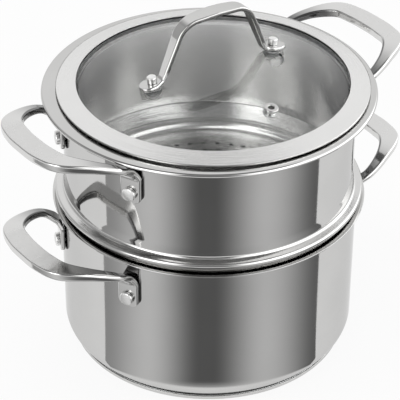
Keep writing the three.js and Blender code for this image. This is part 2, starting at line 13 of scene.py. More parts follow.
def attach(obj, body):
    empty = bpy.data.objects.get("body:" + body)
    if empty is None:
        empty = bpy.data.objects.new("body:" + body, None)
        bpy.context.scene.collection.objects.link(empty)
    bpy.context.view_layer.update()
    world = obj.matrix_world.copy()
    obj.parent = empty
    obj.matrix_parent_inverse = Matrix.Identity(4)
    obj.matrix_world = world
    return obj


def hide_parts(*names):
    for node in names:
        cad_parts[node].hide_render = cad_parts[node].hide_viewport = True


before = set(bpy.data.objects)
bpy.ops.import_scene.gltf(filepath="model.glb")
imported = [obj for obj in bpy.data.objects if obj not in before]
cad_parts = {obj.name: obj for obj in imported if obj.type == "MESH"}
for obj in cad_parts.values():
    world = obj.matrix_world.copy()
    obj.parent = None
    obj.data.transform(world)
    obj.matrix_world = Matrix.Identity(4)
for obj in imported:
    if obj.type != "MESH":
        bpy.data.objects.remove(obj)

LOG = logging.getLogger("steamer_pot")
MM = 0.001
LID_SHIFT = 2.5
LID_SHIFT_BEARING = -35.0
MITRE_LIMIT = 0.5
MERGE_DISTANCE = 1e-6
SHEET_ROUNDING = 0.3
SHARP_ANGLE = 50.0
ROUNDED_SMOOTH_ANGLE = 40.0
MIX_FIRST, MIX_SECOND, MIX_RESULT = 6, 7, 2
Point = tuple[float, float]
Tone = tuple[float, float, float]
Shades = tuple[Point, ...]
FaceTest = Callable[[Vector, Vector], bool]
Painting = Sequence[tuple[bpy.types.Material, FaceTest]]
Place = Callable[[float, float], Vector]


class Body(Enum):
    """The bodies of the frame that pieces ride on."""

    POT = "pot"
    STEAMER = "steamer"
    LID = "lid"


class Slot(Enum):
    """The material slots of the record."""

    POLISHED = "polished_steel"
    SATIN = "satin_steel"
    CORE = "core_aluminium"
    GLASS = "clear_glass"
    SILICONE = "silicone"


class Side(Enum):
    """The two sides on which a part repeats, with the sign of X there."""

    LEFT = -1
    RIGHT = 1


@dataclass(frozen=True)
class Corner:
    """A corner of a turned section: distance from the axis, height and bend radius in millimetres."""

    r: float
    z: float
    bend: float = 0.0


def bend_path(corners: Sequence[Corner], arc_step: float = 5.0, support: float = 0.4) -> list[Point]:
    """Run a path through corners, with an arc at each bend.

    Args:
        corners: The corners in order.
        arc_step: The largest turn between two points of an arc, in degrees.
        support: Distance from an arc at which a straight stretch gets a point of its own.

    Returns:
        The points of the path in millimetres.
    """
    path: list[Point] = []
    for i, corner in enumerate(corners):
        here = Vector((corner.r, corner.z))
        if corner.bend == 0.0 or i in (0, len(corners) - 1):
            path.append(tuple(here))
            continue
        back = (Vector((corners[i - 1].r, corners[i - 1].z)) - here).normalized()
        onward = (Vector((corners[i + 1].r, corners[i + 1].z)) - here).normalized()
        half = math.acos(max(-1.0, min(1.0, back.dot(onward)))) / 2
        centre = here + (back + onward).normalized() * (corner.bend / math.sin(half))
        reach = corner.bend / math.tan(half)
        first = here + back * reach
        last = here + onward * reach
        start = math.atan2(first.y - centre.y, first.x - centre.x)
        end = math.atan2(last.y - centre.y, last.x - centre.x)
        turn = (end - start + math.pi) % math.tau - math.pi
        steps = max(2, math.ceil(abs(math.degrees(turn)) / arc_step))
        path.append(tuple(first + back * support))
        for step in range(steps + 1):
            angle = start + turn * step / steps
            path.append((centre.x + corner.bend * math.cos(angle), centre.y + corner.bend * math.sin(angle)))
        path.append(tuple(last + onward * support))
    return path


def offset_path(path: Sequence[Point], distance: float) -> list[Point]:
    """Move a path to its left.

    Args:
        path: The points of the path.
        distance: How far it moves.

    Returns:
        The moved points.
    """
    moved: list[Point] = []
    for i, point in enumerate(path):
        here = Vector(point)
        before = (here - Vector(path[max(i - 1, 0)])).normalized()
        after = (Vector(path[min(i + 1, len(path) - 1)]) - here).normalized()
        along = (before + after).normalized()
        left = Vector((-along.y, along.x))
        edge = after if i == 0 else before
        stretch = max(left.dot(Vector((-edge.y, edge.x))), MITRE_LIMIT)
        moved.append(tuple(here + left * (distance / stretch)))
    return moved


def curve_through(points: Sequence[Vector], place: float) -> Vector:
    """Find a point on a smooth curve through given points.

    Args:
        points: The points that the curve passes through.
        place: Where on the curve, counted in spans from its start.

    Returns:
        The point on the curve.
    """
    last = len(points) - 1
    span = min(int(place), last - 1)
    t = place - span
    p1, p2 = points[span], points[span + 1]
    p0 = points[span - 1] if span > 0 else p1 * 2 - p2
    p3 = points[span + 2] if span + 2 <= last else p2 * 2 - p1
    d1 = math.sqrt((p2 - p1).length) or 1.0
    d0 = math.sqrt((p1 - p0).length) or d1
    d2 = math.sqrt((p3 - p2).length) or d1
    m1 = ((p1 - p0) / d0 - (p2 - p0) / (d0 + d1) + (p2 - p1) / d1) * d1
    m2 = ((p2 - p1) / d1 - (p3 - p1) / (d1 + d2) + (p3 - p2) / d2) * d1
    c2 = p2 * 3 - p1 * 3 - m1 * 2 - m2
    c3 = p1 * 2 - p2 * 2 + m1 + m2
    return p1 + m1 * t + c2 * t ** 2 + c3 * t ** 3


class Bench:
    """Modelling steps that the sub-assemblies share, each on one new object."""

    @staticmethod
    def open(name: str) -> bpy.types.Object:
        """Name the new active object and open it for editing with all of it selected.

        Args:
            name: Name of the object and its mesh.

        Returns:
            The object, in edit mode.
        """
        obj = bpy.context.active_object
        obj.name = name
        obj.data.name = name
        bpy.ops.object.mode_set(mode="EDIT")
        bpy.ops.mesh.select_all(action="SELECT")
        return obj

    @staticmethod
    def close(obj: bpy.types.Object, smooth_angle: float = 35.0) -> bpy.types.Object:
        """Merge doubles, face the mesh outwards and shade it.

        Args:
            obj: The object in edit mode.
            smooth_angle: Edges flatter than this are shaded smooth, in degrees.

        Returns:
            The object, in object mode.
        """
        bpy.ops.mesh.select_all(action="SELECT")
        bpy.ops.mesh.remove_doubles(threshold=MERGE_DISTANCE)
        bpy.ops.mesh.normals_make_consistent(inside=False)
        bpy.ops.object.mode_set(mode="OBJECT")
        bpy.ops.object.shade_smooth_by_angle(angle=math.radians(smooth_angle))
        return obj

    @staticmethod
    def wire(name: str, points: Sequence[Point]) -> bpy.types.Object:
        """Draw a closed section in the XZ plane by extruding a vertex from point to point.

        Args:
            name: The new object's name.
            points: Distance from the axis and height of each point, in millimetres.

        Returns:
            The new object, in edit mode.
        """
        bpy.ops.object.select_all(action="DESELECT")
        bpy.ops.mesh.primitive_plane_add(size=MM)
        obj = Bench.open(name)
        bpy.ops.mesh.merge(type="CENTER")
        here = Vector((points[0][0], 0.0, points[0][1])) * MM
        bpy.ops.transform.translate(value=here)
        for r, z in [*points[1:], points[0]]:
            there = Vector((r, 0.0, z)) * MM
            bpy.ops.mesh.extrude_vertices_move(TRANSFORM_OT_translate={"value": there - here})
            here = there
        return obj

    @staticmethod
    def turn(name: str, outline: Sequence[Point], sides: int, smooth_angle: float = 35.0) -> bpy.types.Object:
        """Spin a closed section round the Z axis.

        Args:
            name: The new object's name.
            outline: The closed section in millimetres.
            sides: Facets of a full turn.
            smooth_angle: Edges flatter than this are shaded smooth, in degrees.

        Returns:
            The turned object.
        """
        obj = Bench.wire(name, outline)
        bpy.ops.mesh.select_all(action="SELECT")
        bpy.ops.mesh.spin(steps=sides, angle=math.tau, center=(0, 0, 0), axis=(0, 0, 1))
        return Bench.close(obj, smooth_angle)

    @staticmethod
    def turn_sheet(name: str, corners: Sequence[Corner], thickness: float, sides: int,
                   keep_within: float = 0.0) -> bpy.types.Object:
        """Spin bent sheet metal round the Z axis.

        Args:
            name: The new object's name.
            corners: One face of the sheet, with the sheet on the left of its direction.
            thickness: Thickness of the sheet in millimetres.
            sides: Facets of a full turn.
            keep_within: Edges nearer to the axis than this stay sharp, in millimetres.

        Returns:
            The turned object with its cut edges rounded.
        """
        path = bend_path(corners)
        outline = [*path, *reversed(offset_path(path, thickness))]
        obj = Bench.turn(name, outline, sides)
        return Bench.round_edges(obj, thickness * SHEET_ROUNDING, keep_within=keep_within)

    @staticmethod
    def round_edges(obj: bpy.types.Object, width: float, segments: int = 3,
                    keep_within: float = 0.0) -> bpy.types.Object:
        """Round the sharp edges of a finished mesh.

        Args:
            obj: The object to round.
            width: Width of the rounding in millimetres.
            segments: Facets of the rounding.
            keep_within: Edges nearer to the axis than this stay sharp, in millimetres.

        Returns:
            The same object.
        """
        bm = bmesh.new()
        bm.from_mesh(obj.data)
        mark = bm.edges.layers.float.new("bevel_weight_edge")
        for edge in bm.edges:
            clear = math.hypot(*edge.verts[0].co.xy) > keep_within * MM
            edge[mark] = float(clear and edge.calc_face_angle(0.0) > math.radians(SHARP_ANGLE))
        bm.to_mesh(obj.data)
        bm.free()
        rounding = obj.modifiers.new("rounding", "BEVEL")
        rounding.width = width * MM
        rounding.segments = segments
        rounding.limit_method = "WEIGHT"
        Bench.apply(obj, rounding)
        bpy.ops.object.shade_smooth_by_angle(angle=math.radians(ROUNDED_SMOOTH_ANGLE))
        return obj

    @staticmethod
    def apply(obj: bpy.types.Object, modifier: bpy.types.Modifier) -> None:
        """Apply one modifier of an object.

        Args:
            obj: The object.
            modifier: Its modifier.
        """
        bpy.ops.object.select_all(action="DESELECT")
        obj.select_set(True)
        bpy.context.view_layer.objects.active = obj
        bpy.ops.object.modifier_apply(modifier=modifier.name)

    @staticmethod
    def loft(name: str, rings: Sequence[Sequence[Vector]]) -> bpy.types.Object:
        """Extrude a face from ring to ring.

        Args:
            name: The new object's name.
            rings: Rings with equally many points each, in millimetres.

        Returns:
            The closed object.
        """
        bpy.ops.object.select_all(action="DESELECT")
        bpy.ops.mesh.primitive_circle_add(vertices=len(rings[0]), radius=MM, fill_type="NGON")
        obj = Bench.open(name)
        bm = bmesh.from_edit_mesh(obj.data)
        bm.verts.ensure_lookup_table()
        for vert, place in zip(bm.verts, rings[0]):
            vert.co = place * MM
        bmesh.update_edit_mesh(obj.data)
        for before, ring in zip(rings, rings[1:]):
            bpy.ops.mesh.extrude_region_move()
            bm = bmesh.from_edit_mesh(obj.data)
            fresh = [vert for vert in bm.verts if vert.select]
            for old, place in zip(before, ring):
                vert = min(fresh, key=lambda v: (v.co - old * MM).length_squared)
                fresh.remove(vert)
                vert.co = place * MM
            bmesh.update_edit_mesh(obj.data)
        bpy.ops.mesh.select_all(action="SELECT")
        bpy.ops.mesh.fill_holes(sides=0)
        return Bench.close(obj)

    @staticmethod
    def drill(obj: bpy.types.Object, cutter: bpy.types.Object) -> bpy.types.Object:
        """Cut one object away from another.

        Args:
            obj: The object that is cut.
            cutter: The object that is taken away and then deleted.

        Returns:
            The cut object.
        """
        cut = obj.modifiers.new("holes", "BOOLEAN")
        cut.operation = "DIFFERENCE"
        cut.solver = "EXACT"
        cut.object = cutter
        Bench.apply(obj, cut)
        bpy.data.meshes.remove(cutter.data)
        return obj

    @staticmethod
    def pins(name: str, places: Sequence[Matrix], radius: float, length: float, sides: int) -> bpy.types.Object:
        """Set round pins as one object, for drilling.

        Args:
            name: The new object's name.
            places: Where each pin stands, in millimetres.
            radius: Radius of the pins in millimetres.
            length: Length of the pins in millimetres.
            sides: Facets round a pin.

        Returns:
            The new object.
        """
        bpy.ops.object.select_all(action="DESELECT")
        bpy.ops.mesh.primitive_cylinder_add(vertices=sides, radius=radius * MM, depth=length * MM)
        pattern = bpy.context.active_object
        copies = []
        for place in places:
            copies.append(Bench.copy(pattern, name, place))
        bpy.data.meshes.remove(pattern.data)
        bpy.ops.object.select_all(action="DESELECT")
        for pin in copies:
            pin.select_set(True)
        bpy.context.view_layer.objects.active = copies[0]
        bpy.ops.object.join()
        return bpy.context.active_object

    @staticmethod
    def copy(obj: bpy.types.Object, name: str, place: Matrix) -> bpy.types.Object:
        """Copy an object with a mesh of its own.

        Args:
            obj: The object to copy.
            name: Name of the copy.
            place: Where the copy goes, in millimetres, written into its mesh.

        Returns:
            The copy.
        """
        twin = obj.copy()
        twin.data = obj.data.copy()
        twin.name = name
        twin.data.name = name
        bpy.context.scene.collection.objects.link(twin)
        shift = place.copy()
        shift.translation = place.translation * MM
        twin.data.transform(shift)
        return twin

    @staticmethod
    def discard(obj: bpy.types.Object) -> None:
        """Delete a pattern that has been copied."""
        bpy.data.meshes.remove(obj.data)

    @staticmethod
    def paint(obj: bpy.types.Object, base: bpy.types.Material,
              others: Painting = ()) -> None:
        """Give an object its materials.

        Args:
            obj: The object.
            base: The material of every face that no test picks.
            others: Further materials, each with a test of a face's centre and normal.
        """
        obj.data.materials.clear()
        obj.data.materials.append(base)
        for index, (material, test) in enumerate(others, start=1):
            obj.data.materials.append(material)
            for face in obj.data.polygons:
                if test(face.center, face.normal):
                    face.material_index = index

    @staticmethod
    def fit(obj: bpy.types.Object, body: Body, slot: Slot, *nodes: str) -> None:
        """Put a finished piece into the frame.

        Args:
            obj: The finished piece.
            body: The body that it rides on.
            slot: The material slot that it belongs to; not used.
            nodes: The CAD nodes that it stands for.
        """
        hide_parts(*nodes)
        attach(obj, body.value)
        LOG.info("%s: %d faces, for %s", obj.name, len(obj.data.polygons), ", ".join(nodes))


class Links:
    """Short ways to place and join the nodes of one tree."""

    def __init__(self, tree: bpy.types.NodeTree) -> None:
        """Take the tree and empty it."""
        self.tree = tree
        tree.nodes.clear()

    def add(self, kind: str, **settings: object) -> bpy.types.Node:
        """Add a node.

        Args:
            kind: The node's type without its ShaderNode prefix.
            settings: Properties to set on it.

        Returns:
            The new node.
        """
        node = self.tree.nodes.new(kind if kind.startswith("Node") else "ShaderNode" + kind)
        for name, value in settings.items():
            setattr(node, name, value)
        return node

    def join(self, source: bpy.types.NodeSocket, target: bpy.types.NodeSocket) -> None:
        """Link an output to an input."""
        self.tree.links.new(source, target)

    def math(self, operation: str, a: object, b: object = None) -> bpy.types.NodeSocket:
        """Add a sum of two values.

        Args:
            operation: The operation of the Math node.
            a: First value, a socket or a number.
            b: Second value, a socket or a number, if the operation has one.

        Returns:
            The result.
        """
        node = self.add("Math", operation=operation)
        for socket, value in zip(node.inputs, (a, b)):
            if isinstance(value, bpy.types.NodeSocket):
                self.join(value, socket)
            elif value is not None:
                socket.default_value = value
        return node.outputs[0]

    def range(self, value: bpy.types.NodeSocket, low: float, high: float) -> bpy.types.NodeSocket:
        """Spread a value from 0 to 1 over another range.

        Args:
            value: The value.
            low: Result at 0.
            high: Result at 1.

        Returns:
            The result.
        """
        node = self.add("MapRange")
        self.join(value, node.inputs["Value"])
        node.inputs["To Min"].default_value = low
        node.inputs["To Max"].default_value = high
        return node.outputs["Result"]

    def ease(self, value: bpy.types.NodeSocket, start: float, end: float) -> bpy.types.NodeSocket:
        """Rise softly from 0 to 1 between two values.

        Args:
            value: The value.
            start: Where the result is 0.
            end: Where the result is 1.

        Returns:
            The result.
        """
        node = self.add("MapRange", interpolation_type="SMOOTHSTEP")
        self.join(value, node.inputs["Value"])
        node.inputs["From Min"].default_value = start
        node.inputs["From Max"].default_value = end
        return node.outputs["Result"]

    def blend(self, mask: bpy.types.NodeSocket, first: Tone, second: Tone) -> bpy.types.NodeSocket:
        """Blend two colours.

        Args:
            mask: How much of the second colour shows.
            first: Colour where the mask is 0.
            second: Colour where the mask is 1.

        Returns:
            The blended colour.
        """
        node = self.add("Mix", data_type="RGBA")
        node.inputs[MIX_FIRST].default_value = (*first, 1.0)
        node.inputs[MIX_SECOND].default_value = (*second, 1.0)
        self.join(mask, node.inputs[0])
        return node.outputs[MIX_RESULT]

    def marks(self, place: bpy.types.NodeSocket, scale: float) -> bpy.types.NodeSocket:
        """Add soft marks.

        Args:
            place: The coordinates.
            scale: How many marks there are, per metre.

        Returns:
            The mask of the marks.
        """
        node = self.add("Group", node_tree=Patterns.soft_marks())
        node.inputs["Scale"].default_value = scale
        self.join(place, node.inputs["Vector"])
        return node.outputs["Marks"]

    def relief(self, height: bpy.types.NodeSocket, strength: float, depth: float) -> bpy.types.Node:
        """Turn a height into a relief.

        Args:
            height: The height.
            strength: Strength of the relief.
            depth: Depth of the relief in metres.

        Returns:
            The node of the relief.
        """
        node = self.add("Bump")
        node.inputs["Strength"].default_value = strength
        node.inputs["Distance"].default_value = depth
        self.join(height, node.inputs["Height"])
        return node


class Surface(Links):
    """A new material with one shader and its coordinates."""

    def __init__(self, name: str) -> None:
        """Make the material and join its shader to its output.

        Args:
            name: Name of the material.
        """
        self.material = bpy.data.materials.new(name)
        self.material.use_nodes = True
        super().__init__(self.material.node_tree)
        self.shader = self.add("BsdfPrincipled")
        self.place = self.add("TexCoord")
        self.join(self.shader.outputs[0], self.add("OutputMaterial").inputs["Surface"])

    def set(self, name: str, value: object) -> None:
        """Set a constant on a socket of the shader."""
        self.shader.inputs[name].default_value = value

    def feed(self, name: str, source: bpy.types.NodeSocket) -> None:
        """Link a value to a socket of the shader."""
        self.join(source, self.shader.inputs[name])


class Patterns:
    """Node groups that several finishes use."""

    AXIS_WIDTH = 1e-5
    GRAIN_DETAIL = 4.0
    GRAIN_ROUGHNESS = 0.65
    MARKS_DETAIL = 3.0
    MARKS_DISTORTION = 0.3
    MARKS_LOW = 0.3
    MARKS_GAIN = 2.5
    _built: dict[str, bpy.types.NodeTree] = {}

    @classmethod
    def start(cls, name: str, inputs: dict[str, float],
              output: str) -> tuple[Links, bpy.types.Node, bpy.types.Node]:
        """Start a group that takes a vector and some numbers and gives one value.

        Args:
            name: Name of the group.
            inputs: Names of the numbers, with what they are by default.
            output: Name of the value.

        Returns:
            The group's links, its input node and its output node.
        """
        tree = bpy.data.node_groups.new(name, "ShaderNodeTree")
        links = Links(tree)
        face = tree.interface
        face.new_socket("Vector", in_out="INPUT", socket_type="NodeSocketVector")
        for label, value in inputs.items():
            face.new_socket(label, in_out="INPUT", socket_type="NodeSocketFloat").default_value = value
        face.new_socket(output, in_out="OUTPUT", socket_type="NodeSocketFloat")
        cls._built[name] = tree
        return links, links.add("NodeGroupInput"), links.add("NodeGroupOutput")

    @classmethod
    def turned_grain(cls) -> bpy.types.NodeTree:
        """Fine streaks that run round an axis, as left by brushing a turned piece.

        Returns:
            The group.
        """
        name = "turned_grain"
        if name in cls._built:
            return cls._built[name]
        links, given, result = cls.start(name, {"Along": 3.0, "Across": 900.0, "Contrast": 1.0}, "Grain")
        split = links.add("SeparateXYZ")
        links.join(given.outputs["Vector"], split.inputs[0])
        x, y, z = split.outputs
        squares = links.math("ADD", links.math("MULTIPLY", x, x), links.math("MULTIPLY", y, y))
        radius = links.math("ADD", links.math("SQRT", squares), cls.AXIS_WIDTH)
        place = links.add("CombineXYZ")
        for socket, value in zip(place.inputs, (x, y)):
            links.join(links.math("MULTIPLY", links.math("DIVIDE", value, radius), given.outputs["Along"]), socket)
        depth = links.math("ADD", radius, z)
        links.join(links.math("MULTIPLY", depth, given.outputs["Across"]), place.inputs["Z"])
        noise = links.add("TexNoise")
        noise.inputs["Scale"].default_value = 1.0
        noise.inputs["Detail"].default_value = cls.GRAIN_DETAIL
        noise.inputs["Roughness"].default_value = cls.GRAIN_ROUGHNESS
        links.join(place.outputs[0], noise.inputs["Vector"])
        middle = links.math("SUBTRACT", noise.outputs[0], 0.5)
        spread = links.math("MULTIPLY", middle, given.outputs["Contrast"])
        clamp = links.add("Clamp")
        links.join(links.math("ADD", spread, 0.5), clamp.inputs["Value"])
        links.join(clamp.outputs[0], result.inputs["Grain"])
        return cls._built[name]

    @classmethod
    def soft_marks(cls) -> bpy.types.NodeTree:
        """Wide, faint patches, as left by polishing and wiping.

        Returns:
            The group.
        """
        name = "soft_marks"
        if name in cls._built:
            return cls._built[name]
        links, given, result = cls.start(name, {"Scale": 20.0}, "Marks")
        noise = links.add("TexNoise")
        noise.inputs["Detail"].default_value = cls.MARKS_DETAIL
        noise.inputs["Distortion"].default_value = cls.MARKS_DISTORTION
        links.join(given.outputs["Vector"], noise.inputs["Vector"])
        links.join(given.outputs["Scale"], noise.inputs["Scale"])
        above = links.math("SUBTRACT", noise.outputs[0], cls.MARKS_LOW)
        clamp = links.add("Clamp")
        links.join(links.math("MULTIPLY", above, cls.MARKS_GAIN), clamp.inputs["Value"])
        links.join(clamp.outputs[0], result.inputs["Marks"])
        return cls._built[name]


@dataclass(frozen=True)
class Metal:
    """A metal finish with turned grain and soft marks.

    Attributes:
        name: Name of the material.
        tone: Colour of the bare metal.
        roughness: Mean roughness.
        spread: How far the roughness varies either way.
        grain: Strength of the grain's relief.
        along: How often the grain changes round the axis.
        across: How often the grain changes across itself, per metre.
        contrast: Contrast of the grain.
        ripple: Strength of a wide unevenness in the reflections.
        centre: Where the grain's axis stands, in millimetres.
        edge_tint: Brightness of the metal where it is seen at a low angle.
        marks_scale: How many soft marks there are, per metre.
        marks_shade: Share of the tone that is left in the marks.
        grain_depth: Depth of the grain in metres.
        ripple_scale: How often the unevenness changes, per metre.
        ripple_depth: Depth of the unevenness in metres.
        least_roughness: The roughness never falls below this.
    """

    name: str
    tone: Tone
    roughness: float
    spread: float
    grain: float
    along: float = 3.0
    across: float = 900.0
    contrast: float = 2.0
    ripple: float = 0.0
    centre: Point = (0.0, 0.0)
    edge_tint: float = 0.8
    marks_scale: float = 24.0
    marks_shade: float = 0.95
    grain_depth: float = 0.00005
    ripple_scale: float = 14.0
    ripple_depth: float = 0.001
    least_roughness: float = 0.02

    def material(self) -> bpy.types.Material:
        """Build the material.

        Returns:
            The new material.
        """
        steel = Surface(self.name)
        steel.set("Metallic", 1.0)
        steel.set("Specular Tint", (self.edge_tint, self.edge_tint, self.edge_tint, 1.0))
        place = steel.place.outputs["Object"]
        shift = steel.add("Mapping")
        shift.inputs["Location"].default_value = (-self.centre[0] * MM, -self.centre[1] * MM, 0.0)
        steel.join(place, shift.inputs["Vector"])
        grain = steel.add("Group", node_tree=Patterns.turned_grain())
        for label, value in (("Along", self.along), ("Across", self.across), ("Contrast", self.contrast)):
            grain.inputs[label].default_value = value
        steel.join(shift.outputs[0], grain.inputs["Vector"])
        streaks = grain.outputs["Grain"]
        marks = steel.marks(place, self.marks_scale)
        dim = tuple(value * self.marks_shade for value in self.tone)
        steel.feed("Base Color", steel.blend(marks, dim, self.tone))
        both = steel.math("MULTIPLY", steel.math("ADD", streaks, marks), 0.5)
        low = max(self.roughness - self.spread, self.least_roughness)
        steel.feed("Roughness", steel.range(both, low, self.roughness + self.spread))
        relief = steel.relief(streaks, self.grain, self.grain_depth)
        if self.ripple > 0.0:
            wide = steel.add("TexNoise")
            wide.inputs["Scale"].default_value = self.ripple_scale
            wide.inputs["Detail"].default_value = 0.0
            steel.join(place, wide.inputs["Vector"])
            sway = steel.relief(wide.outputs[0], self.ripple, self.ripple_depth)
            steel.join(sway.outputs[0], relief.inputs["Normal"])
        steel.feed("Normal", relief.outputs[0])
        return steel.material


@dataclass(frozen=True)
class Forging:
    """Steel of the side handles: polished, with a satin grip, and painted shade on the underside and on the arms'
    backs.

    Attributes:
        name: Name of the material.
        tone: Colour of the bare metal.
        shade_tone: Colour of the painted shade on the underside and on the arms' faces towards the wall.
        polish: Roughness of the arms.
        satin: Roughness of the grip.
        satin_from: Distance from the handle's middle at which the satin starts to fade, in millimetres.
        satin_to: Distance at which it has gone, in millimetres.
        top_slopes: Upward slopes of a face between which the satin comes in.
        under_shade_slopes: Upward slopes between which the painted shade of the underside comes in.
        back_shade_slopes: Outward slopes between which the painted shade of the arms' backs comes in.
        spread: How far the grip's roughness varies either way.
        marks_scale: How many soft marks there are, per metre.
        grain: Strength of the satin's relief.
        grain_depth: Depth of the satin's relief in metres.
    """

    name: str
    tone: Tone
    shade_tone: Tone
    polish: float
    satin: float
    satin_from: float
    satin_to: float
    top_slopes: Point = (0.6, 0.95)
    under_shade_slopes: Point = (-0.3, -0.85)
    back_shade_slopes: Point = (-0.05, -0.35)
    spread: float = 0.03
    marks_scale: float = 260.0
    grain: float = 0.08
    grain_depth: float = 0.00005

    @staticmethod
    def outward_slope(steel: Surface) -> bpy.types.NodeSocket:
        """Measure how far a face looks away from the pot's axis.

        Args:
            steel: The material's nodes.

        Returns:
            1 on a face that looks straight outwards, -1 on one that looks at the axis.
        """
        level = steel.add("VectorMath", operation="MULTIPLY")
        level.inputs[1].default_value = (1.0, 1.0, 0.0)
        steel.join(steel.place.outputs["Object"], level.inputs[0])
        outwards = steel.add("VectorMath", operation="NORMALIZE")
        steel.join(level.outputs[0], outwards.inputs[0])
        slope = steel.add("VectorMath", operation="DOT_PRODUCT")
        steel.join(outwards.outputs[0], slope.inputs[0])
        steel.join(steel.place.outputs["Normal"], slope.inputs[1])
        return slope.outputs["Value"]

    def material(self) -> bpy.types.Material:
        """Build the material.

        Returns:
            The new material.
        """
        steel = Surface(self.name)
        steel.set("Metallic", 1.0)
        place = steel.place.outputs["Object"]
        split = steel.add("SeparateXYZ")
        steel.join(place, split.inputs[0])
        facing = steel.add("SeparateXYZ")
        steel.join(steel.place.outputs["Normal"], facing.inputs[0])
        upwards = facing.outputs["Z"]
        aside = steel.math("ABSOLUTE", split.outputs["Y"])
        grip = steel.ease(aside, self.satin_to * MM, self.satin_from * MM)
        arms = steel.ease(aside, self.satin_from * MM, self.satin_to * MM)
        top = steel.math("MULTIPLY", grip, steel.ease(upwards, *self.top_slopes))
        marks = steel.marks(place, self.marks_scale)
        uneven = steel.math("MULTIPLY", steel.range(marks, -self.spread, self.spread), grip)
        steel.feed("Roughness", steel.math("ADD", steel.range(top, self.polish, self.satin), uneven))
        # Painted shade: the underside and the arms' faces towards the wall are blended towards a dark tone.
        back = steel.math("MULTIPLY", steel.ease(self.outward_slope(steel), *self.back_shade_slopes), arms)
        painted_shade = steel.math("MAXIMUM", steel.ease(upwards, *self.under_shade_slopes), back)
        steel.feed("Base Color", steel.blend(painted_shade, self.tone, self.shade_tone))
        relief = steel.relief(steel.math("MULTIPLY", marks, top), self.grain, self.grain_depth)
        steel.feed("Normal", relief.outputs[0])
        return steel.material


@dataclass(frozen=True)
class Glass:
    """Clear glass of the lid.

    Attributes:
        name: Name of the material.
        tone: Colour of the light that passes.
        haze: Roughness of its faint smudges.
        bending: Index of refraction.
        marks_scale: How many smudges there are, per metre.
    """

    name: str
    tone: Tone
    haze: float
    bending: float = 1.52
    marks_scale: float = 30.0

    def material(self) -> bpy.types.Material:
        """Build the material.

        Returns:
            The new material.
        """
        glass = Surface(self.name)
        glass.set("Base Color", (*self.tone, 1.0))
        glass.set("Transmission Weight", 1.0)
        glass.set("IOR", self.bending)
        marks = glass.marks(glass.place.outputs["Object"], self.marks_scale)
        glass.feed("Roughness", glass.range(marks, 0.0, self.haze))
        return glass.material


@dataclass(frozen=True)
class Silicone:
    """Soft silicone of the gasket and washers.

    Attributes:
        name: Name of the material.
        tone: Its colour.
        marks_gain: How much lighter its marks are.
        marks_scale: How many marks there are, per metre.
        roughness: Least and greatest roughness.
        grain: Strength of its relief.
        grain_depth: Depth of its relief in metres.
    """

    name: str
    tone: Tone
    marks_gain: float = 1.6
    marks_scale: float = 400.0
    roughness: Point = (0.5, 0.7)
    grain: float = 0.15
    grain_depth: float = 0.0001

    def material(self) -> bpy.types.Material:
        """Build the material.

        Returns:
            The new material.
        """
        soft = Surface(self.name)
        marks = soft.marks(soft.place.outputs["Object"], self.marks_scale)
        light = tuple(value * self.marks_gain for value in self.tone)
        soft.feed("Base Color", soft.blend(marks, self.tone, light))
        soft.feed("Roughness", soft.range(marks, *self.roughness))
        soft.feed("Normal", soft.relief(marks, self.grain, self.grain_depth).outputs[0])
        return soft.material


